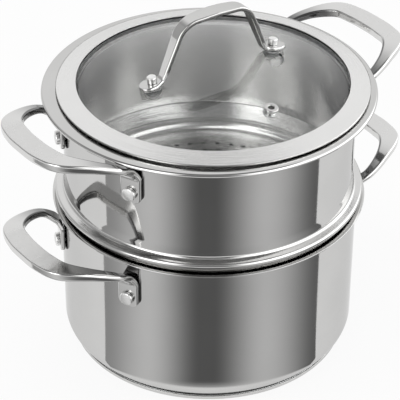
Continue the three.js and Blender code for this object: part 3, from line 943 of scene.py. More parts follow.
@dataclass
class Finishes:
    """The finishes of the object, built once.

    Attributes:
        lid_centre: Where the lid's axis stands, in millimetres.
        steel: Tone of the polished steel.
        soft_steel: Tone of the brushed inside.
        pale_steel: Tone of the rivets and the steamer's floor.
    """

    lid_centre: Point
    steel: Tone = (0.61, 0.607, 0.6)
    soft_steel: Tone = (0.67, 0.667, 0.66)
    pale_steel: Tone = (0.88, 0.878, 0.87)
    mirror: bpy.types.Material = field(init=False)
    inside: bpy.types.Material = field(init=False)
    floor: bpy.types.Material = field(init=False)
    band: bpy.types.Material = field(init=False)
    forged: bpy.types.Material = field(init=False)
    eyelet: bpy.types.Material = field(init=False)
    rivet: bpy.types.Material = field(init=False)
    base: bpy.types.Material = field(init=False)
    core: bpy.types.Material = field(init=False)
    glass: bpy.types.Material = field(init=False)
    strap: bpy.types.Material = field(init=False)
    strap_shade: bpy.types.Material = field(init=False)
    strap_edge_shade: bpy.types.Material = field(init=False)
    silicone: bpy.types.Material = field(init=False)
    washer: bpy.types.Material = field(init=False)

    def __post_init__(self) -> None:
        """Build every material."""
        self.mirror = Metal("mirror_steel", self.steel, roughness=0.06, spread=0.02, grain=0.05,
                            ripple=0.04).material()
        self.inside = Metal("brushed_inside", self.soft_steel, roughness=0.1, spread=0.03, grain=0.7,
                            along=2.0, across=2400.0).material()
        self.floor = Metal("steamer_floor_steel", self.pale_steel, roughness=0.16, spread=0.03, grain=0.8,
                           along=2.0, across=4000.0).material()
        self.band = Metal("brushed_band", (0.8, 0.797, 0.79), roughness=0.24, spread=0.07, grain=0.4,
                          along=4.0, across=1600.0, contrast=3.0, centre=self.lid_centre).material()
        # The side handles carry painted shade on their undersides and on the arms' backs.
        self.forged = Forging("forged_handle", (0.67, 0.667, 0.66), shade_tone=(0.17, 0.17, 0.17),
                              polish=0.09, satin=0.3, satin_from=21.0, satin_to=31.0).material()
        self.strap = Metal("polished_strap", (0.62, 0.617, 0.61), roughness=0.07, spread=0.02, grain=0.05,
                           ripple=0.03).material()
        # Painted shade: dark steel for the underside of the lid handle's strap.
        self.strap_shade = Metal("strap_underside_painted_shade", (0.16, 0.158, 0.155), roughness=0.16, spread=0.05,
                                 grain=0.5, along=2.0, across=1500.0).material()
        # Painted dark reflection: dark steel on the side edges of the strap.
        self.strap_edge_shade = Metal("strap_edge_shade", (0.2, 0.199, 0.196), roughness=0.1, spread=0.02,
                                grain=0.05).material()
        self.rivet = Metal("rivet_steel", self.pale_steel, roughness=0.28, spread=0.03, grain=0.05).material()
        self.eyelet = Metal("polished_eyelet", self.steel, roughness=0.08, spread=0.02, grain=0.05).material()
        self.base = Metal("turned_base", self.steel, roughness=0.2, spread=0.06, grain=0.5,
                          along=2.0, across=1000.0, contrast=3.0).material()
        self.core = Metal("core_aluminium", (0.72, 0.73, 0.73), roughness=0.4, spread=0.08,
                          grain=0.3).material()
        self.glass = Glass("lid_glass", (0.985, 0.992, 0.988), haze=0.015).material()
        self.silicone = Silicone("dark_silicone", (0.012, 0.012, 0.013)).material()
        self.washer = Silicone("grey_silicone", (0.4, 0.4, 0.4)).material()


@dataclass(frozen=True)
class Rivet:
    """A rivet along Z with a nearly flat head above and a low head below.

    Attributes:
        shank: Diameter of the shank.
        head: Diameter of the head that shows.
        head_height: Height of that head.
        edge: Rounding of that head's edge.
        crown: How much higher that head's middle is than its edge.
        back: Diameter of the low head.
        back_height: Height of the low head.
        head_base: Level of the upper head's underside.
        back_base: Level of the low head's upper side.
        back_rounding: Rounding of the low head's edge, as a share of its height.
        sides: Facets of a full turn.
    """

    shank: float
    head: float
    head_height: float
    edge: float
    crown: float
    back: float
    back_height: float
    head_base: float
    back_base: float
    back_rounding: float = 0.6
    sides: int = 48

    def build(self, name: str) -> bpy.types.Object:
        """Turn the rivet.

        Args:
            name: Name of the new object.

        Returns:
            The rivet, with its axis on Z.
        """
        low = self.back_base - self.back_height
        top = self.head_base + self.head_height
        outline = bend_path([
            Corner(0.0, low),
            Corner(self.back / 2, low, self.back_height * self.back_rounding),
            Corner(self.back / 2, self.back_base),
            Corner(self.shank / 2, self.back_base),
            Corner(self.shank / 2, self.head_base),
            Corner(self.head / 2, self.head_base),
            Corner(self.head / 2, top - self.crown, self.edge),
            Corner(self.head / 4, top - self.crown / 4),
            Corner(0.0, top),
        ], arc_step=15.0, support=0.1)
        return Bench.turn(name, outline, self.sides, smooth_angle=30.0)


def bar_outline(half: Point, top: float, low: float, ease: float, parts: int) -> list[Point]:
    """Outline of a flat bar with rounded edges.

    Args:
        half: Half its width and half its thickness.
        top: Radius of the two upper edges.
        low: Radius of the two lower edges.
        ease: Distance from a rounding at which a flat face gets a point of its own.
        parts: Facets of a rounding.

    Returns:
        The points of the outline, across the bar and along its thickness.
    """
    a, b = half
    points: list[Point] = []
    for sign_x, sign_y, radius in ((1, 1, top), (-1, 1, top), (-1, -1, low), (1, -1, low)):
        arc = [(sign_x * a, sign_y * (b - radius - ease))]
        for step in range(parts + 1):
            turn = math.pi / 2 * step / parts
            arc.append((sign_x * (a - radius + radius * math.cos(turn)),
                        sign_y * (b - radius + radius * math.sin(turn))))
        arc.append((sign_x * (a - radius - ease), sign_y * b))
        points.extend(arc if sign_x * sign_y > 0 else reversed(arc))
    return points


@dataclass(frozen=True)
class SideHandle:
    """A forged loop handle with two upright pads, rising arms and a wide flat grip.

    All sizes are in millimetres; shares are shares of the size that they are named for, and limits are
    shares of half the bar's thickness and half its width. Stops count the spans between stations.
    """

    wall_radius: float
    rivet_spacing: float = 80.0
    rivet_drop: float = 28.4
    pad_width: float = 15.0
    pad_thickness: float = 3.0
    pad_above: float = 11.0
    pad_below: float = 6.5
    pad_corner: float = 4.0
    pad_shoulder: float = 4.0
    pad_end_thinning: float = 0.7
    shoulder_width: float = 11.0
    arm_width: float = 7.6
    neck_width: float = 6.4
    neck_thickness: float = 4.2
    arm_out: float = 13.3
    arm_level: float = 22.6
    grip_reach: float = 57.4
    grip_width: float = 15.2
    grip_thickness: float = 6.2
    grip_rise: float = 30.8
    corner_spread: float = 28.5
    corner_setback: float = 4.8
    corner_share: float = 0.92
    elbow_share: float = 0.58
    elbow_bulge: float = 0.3
    side_share: float = 0.15
    elbow_thickness: float = 5.6
    seat_gap: float = 0.3
    top_edge: float = 1.0
    arm_edge: float = 1.9
    lower_edge: float = 2.2
    top_limits: Point = (0.85, 0.6)
    lower_limits: Point = (0.8, 0.5)
    ease: float = 0.35
    ease_limit: float = 0.15
    edge_parts: int = 4
    pad_stops: tuple[float, ...] = (0.0, 0.02, 0.05, 0.09, 0.14, 0.2, 0.27, 0.36, 0.46, 0.62, 0.8, 1.0)
    shoulder_parts: int = 3
    arm_parts: int = 8
    stop_nudge: float = 0.01

    @property
    def rivet_angle(self) -> float:
        """Angle between the handle's middle and one of its rivets, seen from the axis."""
        return math.asin(self.rivet_spacing / 2 / self.wall_radius)

    def stations(self) -> list[tuple[Vector, float, float]]:
        """Lay out the bar from one pad to the middle of the grip.

        Returns:
            Place, width and thickness of the bar at each station.
        """
        angle = self.rivet_angle
        pad_radius = self.wall_radius + self.seat_gap + self.pad_thickness / 2

        def on_ray(radius: float, z: float) -> Vector:
            """Find a point in the rivet's own direction."""
            return Vector((radius * math.cos(angle), radius * math.sin(angle), z))

        middle = self.wall_radius * math.cos(angle) + self.grip_reach - self.grip_width / 2
        neck = on_ray(pad_radius + self.pad_thickness, (self.pad_above + self.arm_level) / 2)
        arm = on_ray(pad_radius + self.arm_out - self.pad_thickness / 2, self.arm_level)
        corner = Vector((middle - self.corner_setback, self.corner_spread, self.grip_rise))
        elbow = arm.lerp(corner, 0.5)
        elbow.y += (self.rivet_spacing / 2 - self.corner_spread) * self.elbow_bulge
        elbow.z += (self.grip_rise - elbow.z) * self.elbow_bulge
        side = Vector((middle - self.corner_setback * self.side_share, self.corner_spread / 2, self.grip_rise))
        thick = self.pad_thickness
        return [
            (on_ray(pad_radius, -self.pad_below), self.pad_width, thick),
            (on_ray(pad_radius, 0.0), self.pad_width, thick),
            (on_ray(pad_radius, self.pad_above - self.pad_shoulder), self.pad_width, thick),
            (on_ray(pad_radius, self.pad_above), self.pad_width, thick),
            (neck, self.shoulder_width, (thick + self.neck_thickness) / 2),
            (arm, self.arm_width, self.neck_thickness),
            (elbow, self.grip_width * self.elbow_share, self.elbow_thickness),
            (corner, self.grip_width * self.corner_share, self.grip_thickness),
            (side, self.grip_width, self.grip_thickness),
            (Vector((middle, 0.0, self.grip_rise)), self.grip_width, self.grip_thickness),
        ]

    def section(self, centre: Vector, across: Vector, up: Vector, width: float, thick: float) -> list[Vector]:
        """Outline of the bar at one place, with crisp upper edges and rounder lower ones.

        Args:
            centre: Middle of the bar.
            across: Direction of its width.
            up: Direction of its thickness.
            width: Width of the bar.
            thick: Thickness of the bar.

        Returns:
            The points of the outline.
        """
        a, b = width / 2, thick / 2
        slim = max(0.0, min(1.0, (self.grip_width - width) / (self.grip_width - self.neck_width)))
        edge = self.top_edge + (self.arm_edge - self.top_edge) * slim
        top = min(edge, b * self.top_limits[0], a * self.top_limits[1])
        low = min(self.lower_edge, b * self.lower_limits[0], a * self.lower_limits[1])
        ease = min(self.ease, b * self.ease_limit, a * self.ease_limit)
        outline = bar_outline((a, b), top, low, ease, self.edge_parts)
        return [centre + across * x + up * y for x, y in outline]

    def build(self, name: str) -> bpy.types.Object:
        """Loft the handle on the +X side, with its rivets at level 0.

        Args:
            name: Name of the new object.

        Returns:
            The handle.
        """
        half = self.stations()
        full = half + [(Vector((at.x, -at.y, at.z)), w, t) for at, w, t in reversed(half[:-1])]
        places = [at for at, _, _ in full]
        sizes = [Vector((w, t, 0.0)) for _, w, t in full]
        spans = len(full) - 1
        stops = list(self.pad_stops)
        stops += [1.0 + step / self.shoulder_parts for step in range(1, self.shoulder_parts + 1)]
        stops += [2.0 + step / self.arm_parts for step in range(1, self.arm_parts * (len(half) - 3) + 1)]
        stops += [spans - stop for stop in reversed(stops[:-1])]
        rings = []
        for stop in stops:
            centre = curve_through(places, stop)
            ahead = curve_through(places, min(stop + self.stop_nudge, spans))
            behind = curve_through(places, max(stop - self.stop_nudge, 0.0))
            along = (ahead - behind).normalized()
            ray = Vector((centre.x, centre.y, 0.0)).normalized()
            plan = Vector((along.x, along.y, 0.0)) + ray * (along.z * abs(along.z))
            across = Vector((-plan.y, plan.x, 0.0)).normalized()
            up = along.cross(across).normalized()
            size = curve_through(sizes, stop)
            end = min(stop, spans - stop) * self.pad_below
            short = max(self.pad_corner - end, 0.0)
            width = size.x - 2 * (self.pad_corner - math.sqrt(self.pad_corner ** 2 - short ** 2))
            thick = size.y - (self.pad_end_thinning if end == 0.0 else 0.0)
            rings.append(self.section(centre, across, up, width, thick))
        return Bench.loft(name, rings)


@dataclass
class HandleSet:
    """The two handles and four rivets of one wall.

    All sizes are in millimetres.
    """

    prefix: str
    body: Body
    wall_radius: float
    sheet: float
    rim_level: float
    finishes: Finishes
    back_gap: float = 0.8
    rivet_shank: float = 5.0
    rivet_head: float = 9.4
    rivet_height: float = 2.9
    rivet_edge: float = 0.9
    rivet_crown: float = 0.7
    rivet_back: float = 10.0
    rivet_back_height: float = 1.6

    def build(self) -> None:
        """Model one handle and one rivet and set the copies in place."""
        handle = SideHandle(self.wall_radius)
        level = self.rim_level - handle.rivet_drop
        pattern = handle.build(f"{self.prefix}_handle_pattern")
        Bench.paint(pattern, self.finishes.forged)
        for side in Side:
            turn = Matrix.Rotation(0.0 if side is Side.RIGHT else math.pi, 4, "Z")
            node = f"{self.prefix}_handle_{side.name.lower()}"
            piece = Bench.copy(pattern, f"{node}_forging", Matrix.Translation((0, 0, level)) @ turn)
            Bench.fit(piece, self.body, Slot.POLISHED, node)
        Bench.discard(pattern)
        rivet = Rivet(
            shank=self.rivet_shank, head=self.rivet_head, head_height=self.rivet_height, edge=self.rivet_edge,
            crown=self.rivet_crown, back=self.rivet_back, back_height=self.rivet_back_height,
            head_base=handle.pad_thickness + 2 * handle.seat_gap, back_base=-self.sheet - self.back_gap)
        pattern = rivet.build(f"{self.prefix}_rivet_pattern")
        Bench.paint(pattern, self.finishes.rivet)
        outwards = Matrix.Rotation(math.pi / 2, 4, "Y")
        aside = handle.rivet_angle
        for name, angle in (("left_front", math.pi + aside), ("left_back", math.pi - aside),
                            ("right_front", -aside), ("right_back", aside)):
            place = Matrix.Translation((0, 0, level)) @ Matrix.Rotation(angle, 4, "Z")
            place = place @ Matrix.Translation((self.wall_radius, 0, 0)) @ outwards
            piece = Bench.copy(pattern, f"{self.prefix}_rivet_{name}_pin", place)
            Bench.fit(piece, self.body, Slot.POLISHED, f"{self.prefix}_rivet_{name}")
        Bench.discard(pattern)


@dataclass
class Pot:
    """The lower pot with its sandwich base.

    All sizes are in millimetres.
    """

    finishes: Finishes
    sheet: float = 0.8
    inner_radius: float = 100.0
    height: float = 109.6
    corner_radius: float = 11.8
    flare_radius: float = 4.5
    lip_radius: float = 106.2
    base_radius: float = 95.6
    base_height: float = 3.0
    base_edge: float = 1.2
    base_sheet: float = 0.6
    core_edge: float = 0.6
    core_top_edge: float = 0.3
    seat_gap: float = 0.3
    sides: int = 192

    @property
    def outer_radius(self) -> float:
        """Outside radius of the wall."""
        return self.inner_radius + self.sheet

    def build(self) -> None:
        """Build the pot."""
        self.shell()
        self.base()
        HandleSet("pot", Body.POT, self.outer_radius, self.sheet, self.height, self.finishes).build()

    def shell(self) -> None:
        """Spin the drawn shell with its flared rim."""
        bottom = self.base_height + self.seat_gap
        under = self.height - self.sheet
        piece = Bench.turn_sheet("pot_shell_pressing", [
            Corner(0.0, bottom),
            Corner(self.outer_radius, bottom, self.corner_radius),
            Corner(self.outer_radius, under, self.flare_radius),
            Corner(self.lip_radius, under),
        ], self.sheet, self.sides)
        limit = self.inner_radius * MM
        Bench.paint(piece, self.finishes.mirror, [
            (self.finishes.inside, lambda centre, normal: inner_face(centre, normal, limit)),
        ])
        Bench.fit(piece, Body.POT, Slot.POLISHED, "pot_shell")

    def base(self) -> None:
        """Spin the tray of the base and the disc inside it."""
        tray = Bench.turn_sheet("base_tray", [
            Corner(0.0, 0.0),
            Corner(self.base_radius, 0.0, self.base_edge),
            Corner(self.base_radius, self.base_height),
        ], self.base_sheet, self.sides)
        Bench.paint(tray, self.finishes.base)
        Bench.fit(tray, Body.POT, Slot.SATIN, "pot_base_cap")
        low = self.base_sheet + self.seat_gap
        rim = self.base_radius - self.base_sheet - self.seat_gap
        core = Bench.turn("base_core_disc", bend_path([
            Corner(0.0, low),
            Corner(rim, low, self.core_edge),
            Corner(rim, self.base_height, self.core_top_edge),
            Corner(0.0, self.base_height),
        ], arc_step=30.0), self.sides)
        Bench.paint(core, self.finishes.core)
        Bench.fit(core, Body.POT, Slot.CORE, "pot_base_core")


def inner_face(centre: Vector, normal: Vector, radius: float, inwards: float = -0.2, upwards: float = 0.5) -> bool:
    """Tell whether a face of a turned wall looks inwards.

    Args:
        centre: Middle of the face.
        normal: Normal of the face.
        radius: Faces beyond this distance from the axis never count.
        inwards: Outward slope below which a face counts.
        upwards: Upward slope above which a face counts.

    Returns:
        Whether it belongs to the inside.
    """
    reach = math.hypot(centre.x, centre.y)
    if reach > radius:
        return False
    radial = (centre.x * normal.x + centre.y * normal.y) / max(reach, MERGE_DISTANCE)
    return radial < inwards or normal.z > upwards


@dataclass
class Steamer:
    """The steamer insert that stands in the pot's rim.

    All sizes are in millimetres, angles in degrees.
    """

    finishes: Finishes
    pot: Pot
    sheet: float = 0.8
    rise: float = 79.6
    wall_radius: float = 97.6
    skirt_clearance: float = 1.0
    floor_drop: float = 13.0
    corner_radius: float = 8.0
    bead_radius: float = 104.5
    bead_nose: float = 2.0
    bead_seat_angle: float = 62.0
    bead_fall: float = 12.0
    bead_fillet: float = 2.5
    wall_flare: float = 0.8
    wall_flare_height: float = 6.0
    wall_flare_bend: float = 20.0
    skirt_fillet: float = 3.0
    flange_radius: float = 110.9
    flange_bend: float = 4.0
    curl_radius: float = 1.0
    curl_drop: float = 1.4
    hole_rings: int = 8
    holes_more: int = 6
    hole_pitch: float = 9.35
    hole_diameter: float = 3.0
    hole_sides: int = 16
    hole_reach: float = 3.2
    sides: int = 192

    @property
    def flange_top(self) -> float:
        """Level of the flange's upper face."""
        return self.pot.height + self.rise

    @property
    def floor_bottom(self) -> float:
        """Level of the floor's underside."""
        return self.pot.height - self.floor_drop

    @property
    def skirt_radius(self) -> float:
        """Outside radius of the skirt inside the pot."""
        return self.pot.inner_radius - self.skirt_clearance

    def build(self) -> None:
        """Build the steamer."""
        self.wall()
        self.floor()
        HandleSet("steamer", Body.STEAMER, self.wall_radius, self.sheet, self.flange_top, self.finishes).build()

    def wall(self) -> None:
        """Spin the skirt, the bead that stands on the pot's rim, the wall and the flange."""
        under_top = self.flange_top - self.sheet
        pot = self.pot
        seat = math.radians(self.bead_seat_angle)
        fall = math.radians(self.bead_fall)
        flare = Vector((pot.outer_radius + pot.flare_radius, pot.height - pot.sheet - pot.flare_radius))
        under = Vector((math.sin(seat), -math.cos(seat)))
        above = Vector((math.sin(fall), math.cos(fall)))
        seat_offset = flare.dot(under) - pot.flare_radius - self.sheet - pot.seat_gap
        skirt_top = (self.skirt_radius * under.x - seat_offset) / -under.y
        nose_x = self.bead_radius - self.bead_nose
        nose = Vector((nose_x, (nose_x * under.x - seat_offset + self.bead_nose) / -under.y))
        top_offset = nose.dot(above) + self.bead_nose
        cross = under.x * above.y - under.y * above.x
        tip_x = (seat_offset * above.y - top_offset * under.y) / cross
        tip_z = (under.x * top_offset - above.x * seat_offset) / cross
        foot_ring = self.wall_radius + self.wall_flare
        foot = (top_offset - foot_ring * above.x) / above.y
        curl_x = self.flange_radius - self.sheet
        start = self.skirt_radius - self.corner_radius
        piece = Bench.turn_sheet("steamer_pressing", [
            Corner(start, self.floor_bottom),
            Corner(self.skirt_radius, self.floor_bottom, self.corner_radius - pot.seat_gap),
            Corner(self.skirt_radius, skirt_top, self.skirt_fillet),
            Corner(tip_x, tip_z, self.bead_nose),
            Corner(foot_ring, foot, self.bead_fillet),
            Corner(self.wall_radius, foot + self.wall_flare_height, self.wall_flare_bend),
            Corner(self.wall_radius, under_top, self.flange_bend),
            Corner(curl_x, under_top, self.curl_radius),
            Corner(curl_x, under_top - self.curl_drop),
        ], self.sheet, self.sides, keep_within=start + self.sheet)
        limit = self.bead_radius * MM
        rim = (self.flange_top - self.flange_bend) * MM
        Bench.paint(piece, self.finishes.mirror, [
            (self.finishes.inside, lambda centre, normal: centre.z < rim and inner_face(centre, normal, limit)),
        ])
        Bench.fit(piece, Body.STEAMER, Slot.POLISHED, "steamer_wall")

    def floor(self) -> None:
        """Extrude the floor plate and drill its rings of steam holes."""
        radius = self.skirt_radius - self.corner_radius
        bpy.ops.object.select_all(action="DESELECT")
        bpy.ops.mesh.primitive_circle_add(vertices=self.sides, radius=radius * MM, fill_type="NGON")
        piece = Bench.open("steamer_floor_plate")
        bpy.ops.transform.translate(value=(0, 0, self.floor_bottom * MM))
        bpy.ops.mesh.extrude_region_move(TRANSFORM_OT_translate={"value": (0, 0, self.sheet * MM)})
        Bench.close(piece)
        places = []
        for ring in range(1, self.hole_rings + 1):
            count = self.holes_more * ring
            for i in range(count):
                angle = math.tau * (i + 0.5) / count
                reach = ring * self.hole_pitch
                level = self.floor_bottom + self.sheet / 2
                places.append(Matrix.Translation((reach * math.cos(angle), reach * math.sin(angle), level)))
        pins = Bench.pins("steam_holes", places, self.hole_diameter / 2, self.hole_reach, self.hole_sides)
        Bench.drill(piece, pins)
        Bench.paint(piece, self.finishes.floor)
        Bench.fit(piece, Body.STEAMER, Slot.SATIN, "steamer_floor")


@dataclass
class Lid:
    """The domed glass lid with its band, gasket, handle and vent.

    All sizes are in millimetres; the lid is built on its own axis and then moved to its place.
    """

    finishes: Finishes
    steamer: Steamer
    centre: Point
    turn: float = -2.8
    seat_gap: float = 0.3
    play: float = 2.8
    band_outer: float = 103.6
    band_inner: float = 90.4
    band_sheet: float = 0.5
    band_seat: float = 2.0
    band_hem: float = 5.0
    band_lip: float = 0.85
    band_rise: float = 4.6
    band_fall: float = 2.7
    band_edge: float = 0.6
    skirt_depth: float = 6.0
    skirt_bend: float = 1.0
    seat_bend: float = 0.4
    ledge_width: float = 4.4
    gasket_thickness: float = 1.7
    gasket_lip: float = 1.3
    gasket_leg: float = 2.1
    gasket_edge: float = 0.15
    glass_thickness: float = 4.0
    dome_radius: float = 330.0
    dome_steps: int = 26
    dome_sides: int = 128
    glass_edge: float = 0.8
    foot_radius: float = 46.6
    strap_width: float = 12.5
    strap_neck: float = 7.2
    strap_thickness: float = 3.2
    strap_rise: float = 40.8
    strap_shoulder: float = 24.6
    strap_crown: float = 2.0
    crown_radius: float = 90.0
    shoulder_radius: float = 16.0
    foot_bend_radius: float = 4.0
    foot_bend: float = 7.0
    foot_reach: float = 3.0
    tab_end: float = 0.3
    strap_step: float = 0.6
    # Slopes that pick the strap's faces with painted shade.
    under_shade_slope: float = -0.3
    edge_shade_slope: float = 0.8
    washer_thickness: float = 0.8
    washer_diameter: float = 11.0
    washer_edge: float = 0.3
    rivet_shank: float = 4.0
    rivet_head: float = 6.4
    rivet_height: float = 4.2
    rivet_edge: float = 0.7
    rivet_crown: float = 0.2
    rivet_back: float = 9.0
    rivet_back_height: float = 1.5
    vent_radius: float = 60.0
    vent_bearing: float = -86.2
    vent_bore: float = 4.0
    vent_shank: float = 6.4
    vent_flange: float = 9.6
    vent_height: float = 1.4
    vent_edge: float = 0.6
    hole_clearance: float = 0.3
    hole_sides: int = 32
    small_sides: int = 64
    sides: int = 192

    @property
    def seat(self) -> float:
        """Level of the band's seat."""
        return self.steamer.flange_top + self.seat_gap

    @property
    def skirt_radius(self) -> float:
        """Outside radius of the skirt inside the steamer."""
        return self.steamer.wall_radius - self.steamer.sheet - self.play

    @property
    def lip_top(self) -> float:
        """Level of the band's inner lip."""
        return self.seat + self.band_rise

    @property
    def glass_radius(self) -> float:
        """Radius of the glass."""
        return self.skirt_radius - self.band_sheet - self.gasket_thickness - 2 * self.seat_gap

    @property
    def dome_centre(self) -> float:
        """Level of the centre of the dome's sphere."""
        edge = self.lip_top - self.band_sheet - self.gasket_lip - 2 * self.seat_gap
        return edge - math.sqrt(self.dome_radius ** 2 - self.band_inner ** 2)

    def glass_top(self, radius: float) -> float:
        """Level of the glass's upper face at a distance from the axis."""
        return self.dome_centre + math.sqrt(self.dome_radius ** 2 - radius ** 2)

    def foot_place(self, side: Side) -> Matrix:
        """Place of the upper face of the glass under a foot of the handle."""
        tilt = Matrix.Rotation(side.value * math.asin(self.foot_radius / self.dome_radius), 4, "Y")
        return Matrix.Translation((side.value * self.foot_radius, 0, self.glass_top(self.foot_radius))) @ tilt

    def vent_place(self) -> Matrix:
        """Place of the upper face of the glass at the vent.

        Returns:
            The place, on the lid's own axis.
        """
        tilt = Matrix.Rotation(math.asin(self.vent_radius / self.dome_radius), 4, "Y")
        reach = Matrix.Translation((self.vent_radius, 0, self.glass_top(self.vent_radius)))
        return Matrix.Rotation(math.radians(self.vent_bearing), 4, "Z") @ reach @ tilt

    def set_down(self, piece: bpy.types.Object, material: bpy.types.Material, slot: Slot, node: str,
                 others: Painting = ()) -> None:
        """Move a piece from the lid's own axis to its place and fit it.

        Args:
            piece: The piece, built on the lid's axis.
            material: Its material.
            slot: The material slot that it belongs to.
            node: The CAD node that it stands for.
            others: Further materials, each with a test of a face's centre and normal.
        """
        shift = Matrix.Translation((self.centre[0] * MM, self.centre[1] * MM, 0))
        piece.data.transform(shift @ Matrix.Rotation(math.radians(self.turn), 4, "Z"))
        Bench.paint(piece, material, others)
        Bench.fit(piece, Body.LID, slot, node)

    def build(self) -> None:
        """Build the lid."""
        self.glass()
        self.band()
        self.gasket()
        self.handle()
        self.fasteners()

    def glass(self) -> None:
        """Spin the dome and drill it for the rivets and the vent."""
        inner = self.dome_radius - self.glass_thickness
        radii = [self.glass_radius * i / self.dome_steps for i in range(self.dome_steps + 1)]
        lower = [(radius, self.dome_centre + math.sqrt(inner ** 2 - radius ** 2)) for radius in radii]
        upper = [(radius, self.glass_top(radius)) for radius in reversed(radii)]
        piece = Bench.turn("lid_glass_dome", [*lower, *upper], self.dome_sides)
        Bench.round_edges(piece, self.glass_edge)
        feet = [self.foot_place(side) for side in Side]
        for name, places, bore in (("rivet_holes", feet, self.rivet_shank),
                                   ("vent_hole", [self.vent_place()], self.vent_shank)):
            radius = bore / 2 + self.hole_clearance
            Bench.drill(piece, Bench.pins(name, places, radius, 4 * self.glass_thickness, self.hole_sides))
        self.set_down(piece, self.finishes.glass, Slot.GLASS, "lid_glass")

    def band(self) -> None:
        """Spin the steel band round the glass."""
        ledge = self.seat - self.skirt_depth
        under = self.seat + self.band_lip
        slope = self.band_fall / (self.band_outer - self.band_inner)
        piece = Bench.turn_sheet("lid_band_ring", [
            Corner(self.skirt_radius - self.ledge_width, ledge),
            Corner(self.skirt_radius, ledge, self.skirt_bend),
            Corner(self.skirt_radius, self.seat, self.seat_bend),
            Corner(self.skirt_radius + self.band_seat, self.seat),
            Corner(self.band_outer - self.band_hem, under + slope * self.band_hem),
            Corner(self.band_outer, under, self.band_edge),
            Corner(self.band_outer, self.lip_top - self.band_fall, self.band_edge),
            Corner(self.band_inner, self.lip_top),
        ], self.band_sheet, self.sides)
        self.set_down(piece, self.finishes.band, Slot.SATIN, "lid_band")

    def gasket(self) -> None:
        """Spin the soft ring between the band and the glass."""
        outer = self.skirt_radius - self.band_sheet - self.seat_gap
        wall = outer - self.gasket_thickness
        slope = self.band_fall / (self.band_outer - self.band_inner)
        ledge = self.seat - self.skirt_depth + self.band_sheet + self.seat_gap
        lip = self.band_inner + self.seat_gap
        under = self.lip_top - (self.band_sheet + self.seat_gap) * math.hypot(1.0, slope)
        below = self.glass_top(self.glass_radius) - self.glass_thickness - self.seat_gap
        piece = Bench.turn("lid_gasket_ring", [
            (wall - self.gasket_leg, ledge),
            (outer - self.band_sheet, ledge),
            (outer, ledge + self.band_sheet),
            (outer, under - slope * (outer - self.band_inner)),
            (lip, under - slope * (lip - self.band_inner)),
            (lip, self.glass_top(lip) + self.seat_gap),
            (wall, self.glass_top(wall) + self.seat_gap),
            (wall, below),
            (wall - self.gasket_leg, below),
        ], self.sides)
        Bench.round_edges(piece, self.gasket_edge, 2)
        line = (self.glass_top(lip) + self.seat_gap / 2) * MM
        self.set_down(piece, self.finishes.silicone, Slot.SILICONE, "lid_gasket", [
            (self.finishes.washer, lambda centre, normal: centre.z < line),
        ])

    def strap_half_width(self, x: float, foot_x: float) -> float:
        """Half the width of the handle's strap at a distance from the middle.

        Args:
            x: Distance from the middle along the handle.
            foot_x: Distance of the feet's middle.

        Returns:
            Half the width there.
        """
        tab, neck = self.strap_width / 2, self.strap_neck / 2
        reach = abs(x)
        past = reach - foot_x - self.foot_reach
        if past > 0.0:
            return math.sqrt(max(tab ** 2 - past ** 2, self.tab_end ** 2))
        flat = self.strap_shoulder - self.shoulder_radius
        narrowest = foot_x - self.foot_bend
        if reach > narrowest:
            share = min(1.0, (reach - narrowest) / self.foot_bend)
            return neck + (tab - neck) * share * share * (3 - 2 * share)
        return tab + (neck - tab) * max(0.0, (reach - flat) / (narrowest - flat))

    def handle(self) -> None:
        """Loft the flat strap of the lid handle along its arch."""
        tilt = math.asin(self.foot_radius / self.dome_radius)
        rise = 2 * self.seat_gap + self.washer_thickness + self.strap_thickness / 2
        foot_x = self.foot_radius + rise * math.sin(tilt)
        foot_z = self.glass_top(self.foot_radius) + rise * math.cos(tilt)
        tab = self.strap_width / 2 + self.foot_reach
        top = self.glass_top(0.0) + self.strap_rise - self.strap_thickness / 2
        right = [
            Corner(foot_x + tab * math.cos(tilt), foot_z - tab * math.sin(tilt)),
            Corner(foot_x - self.foot_bend * math.cos(tilt), foot_z + self.foot_bend * math.sin(tilt),
                   self.foot_bend_radius),
            Corner(self.strap_shoulder, top - self.strap_crown, self.shoulder_radius),
        ]
        left = [Corner(-corner.r, corner.z, corner.bend) for corner in reversed(right)]
        path = [Vector(point) for point in bend_path([*right, Corner(0.0, top, self.crown_radius), *left])]
        rings = []
        for centre, along in even_steps(path, self.strap_step):
            half = self.strap_half_width(centre.x, foot_x)
            rings.append(strap_section(centre, along, half, self.strap_thickness / 2))
        piece = Bench.loft("lid_handle_strap", rings)
        legs = (foot_z + self.foot_bend) * MM
        self.set_down(piece, self.finishes.strap, Slot.POLISHED, "lid_handle", [
            # Painted shade on the strap's underside.
            (self.finishes.strap_shade, lambda centre, normal: normal.z < self.under_shade_slope),
            # Painted dark reflection on the strap's side edges.
            (self.finishes.strap_edge_shade,
             lambda centre, normal: centre.z > legs and abs(normal.y) > self.edge_shade_slope),
        ])

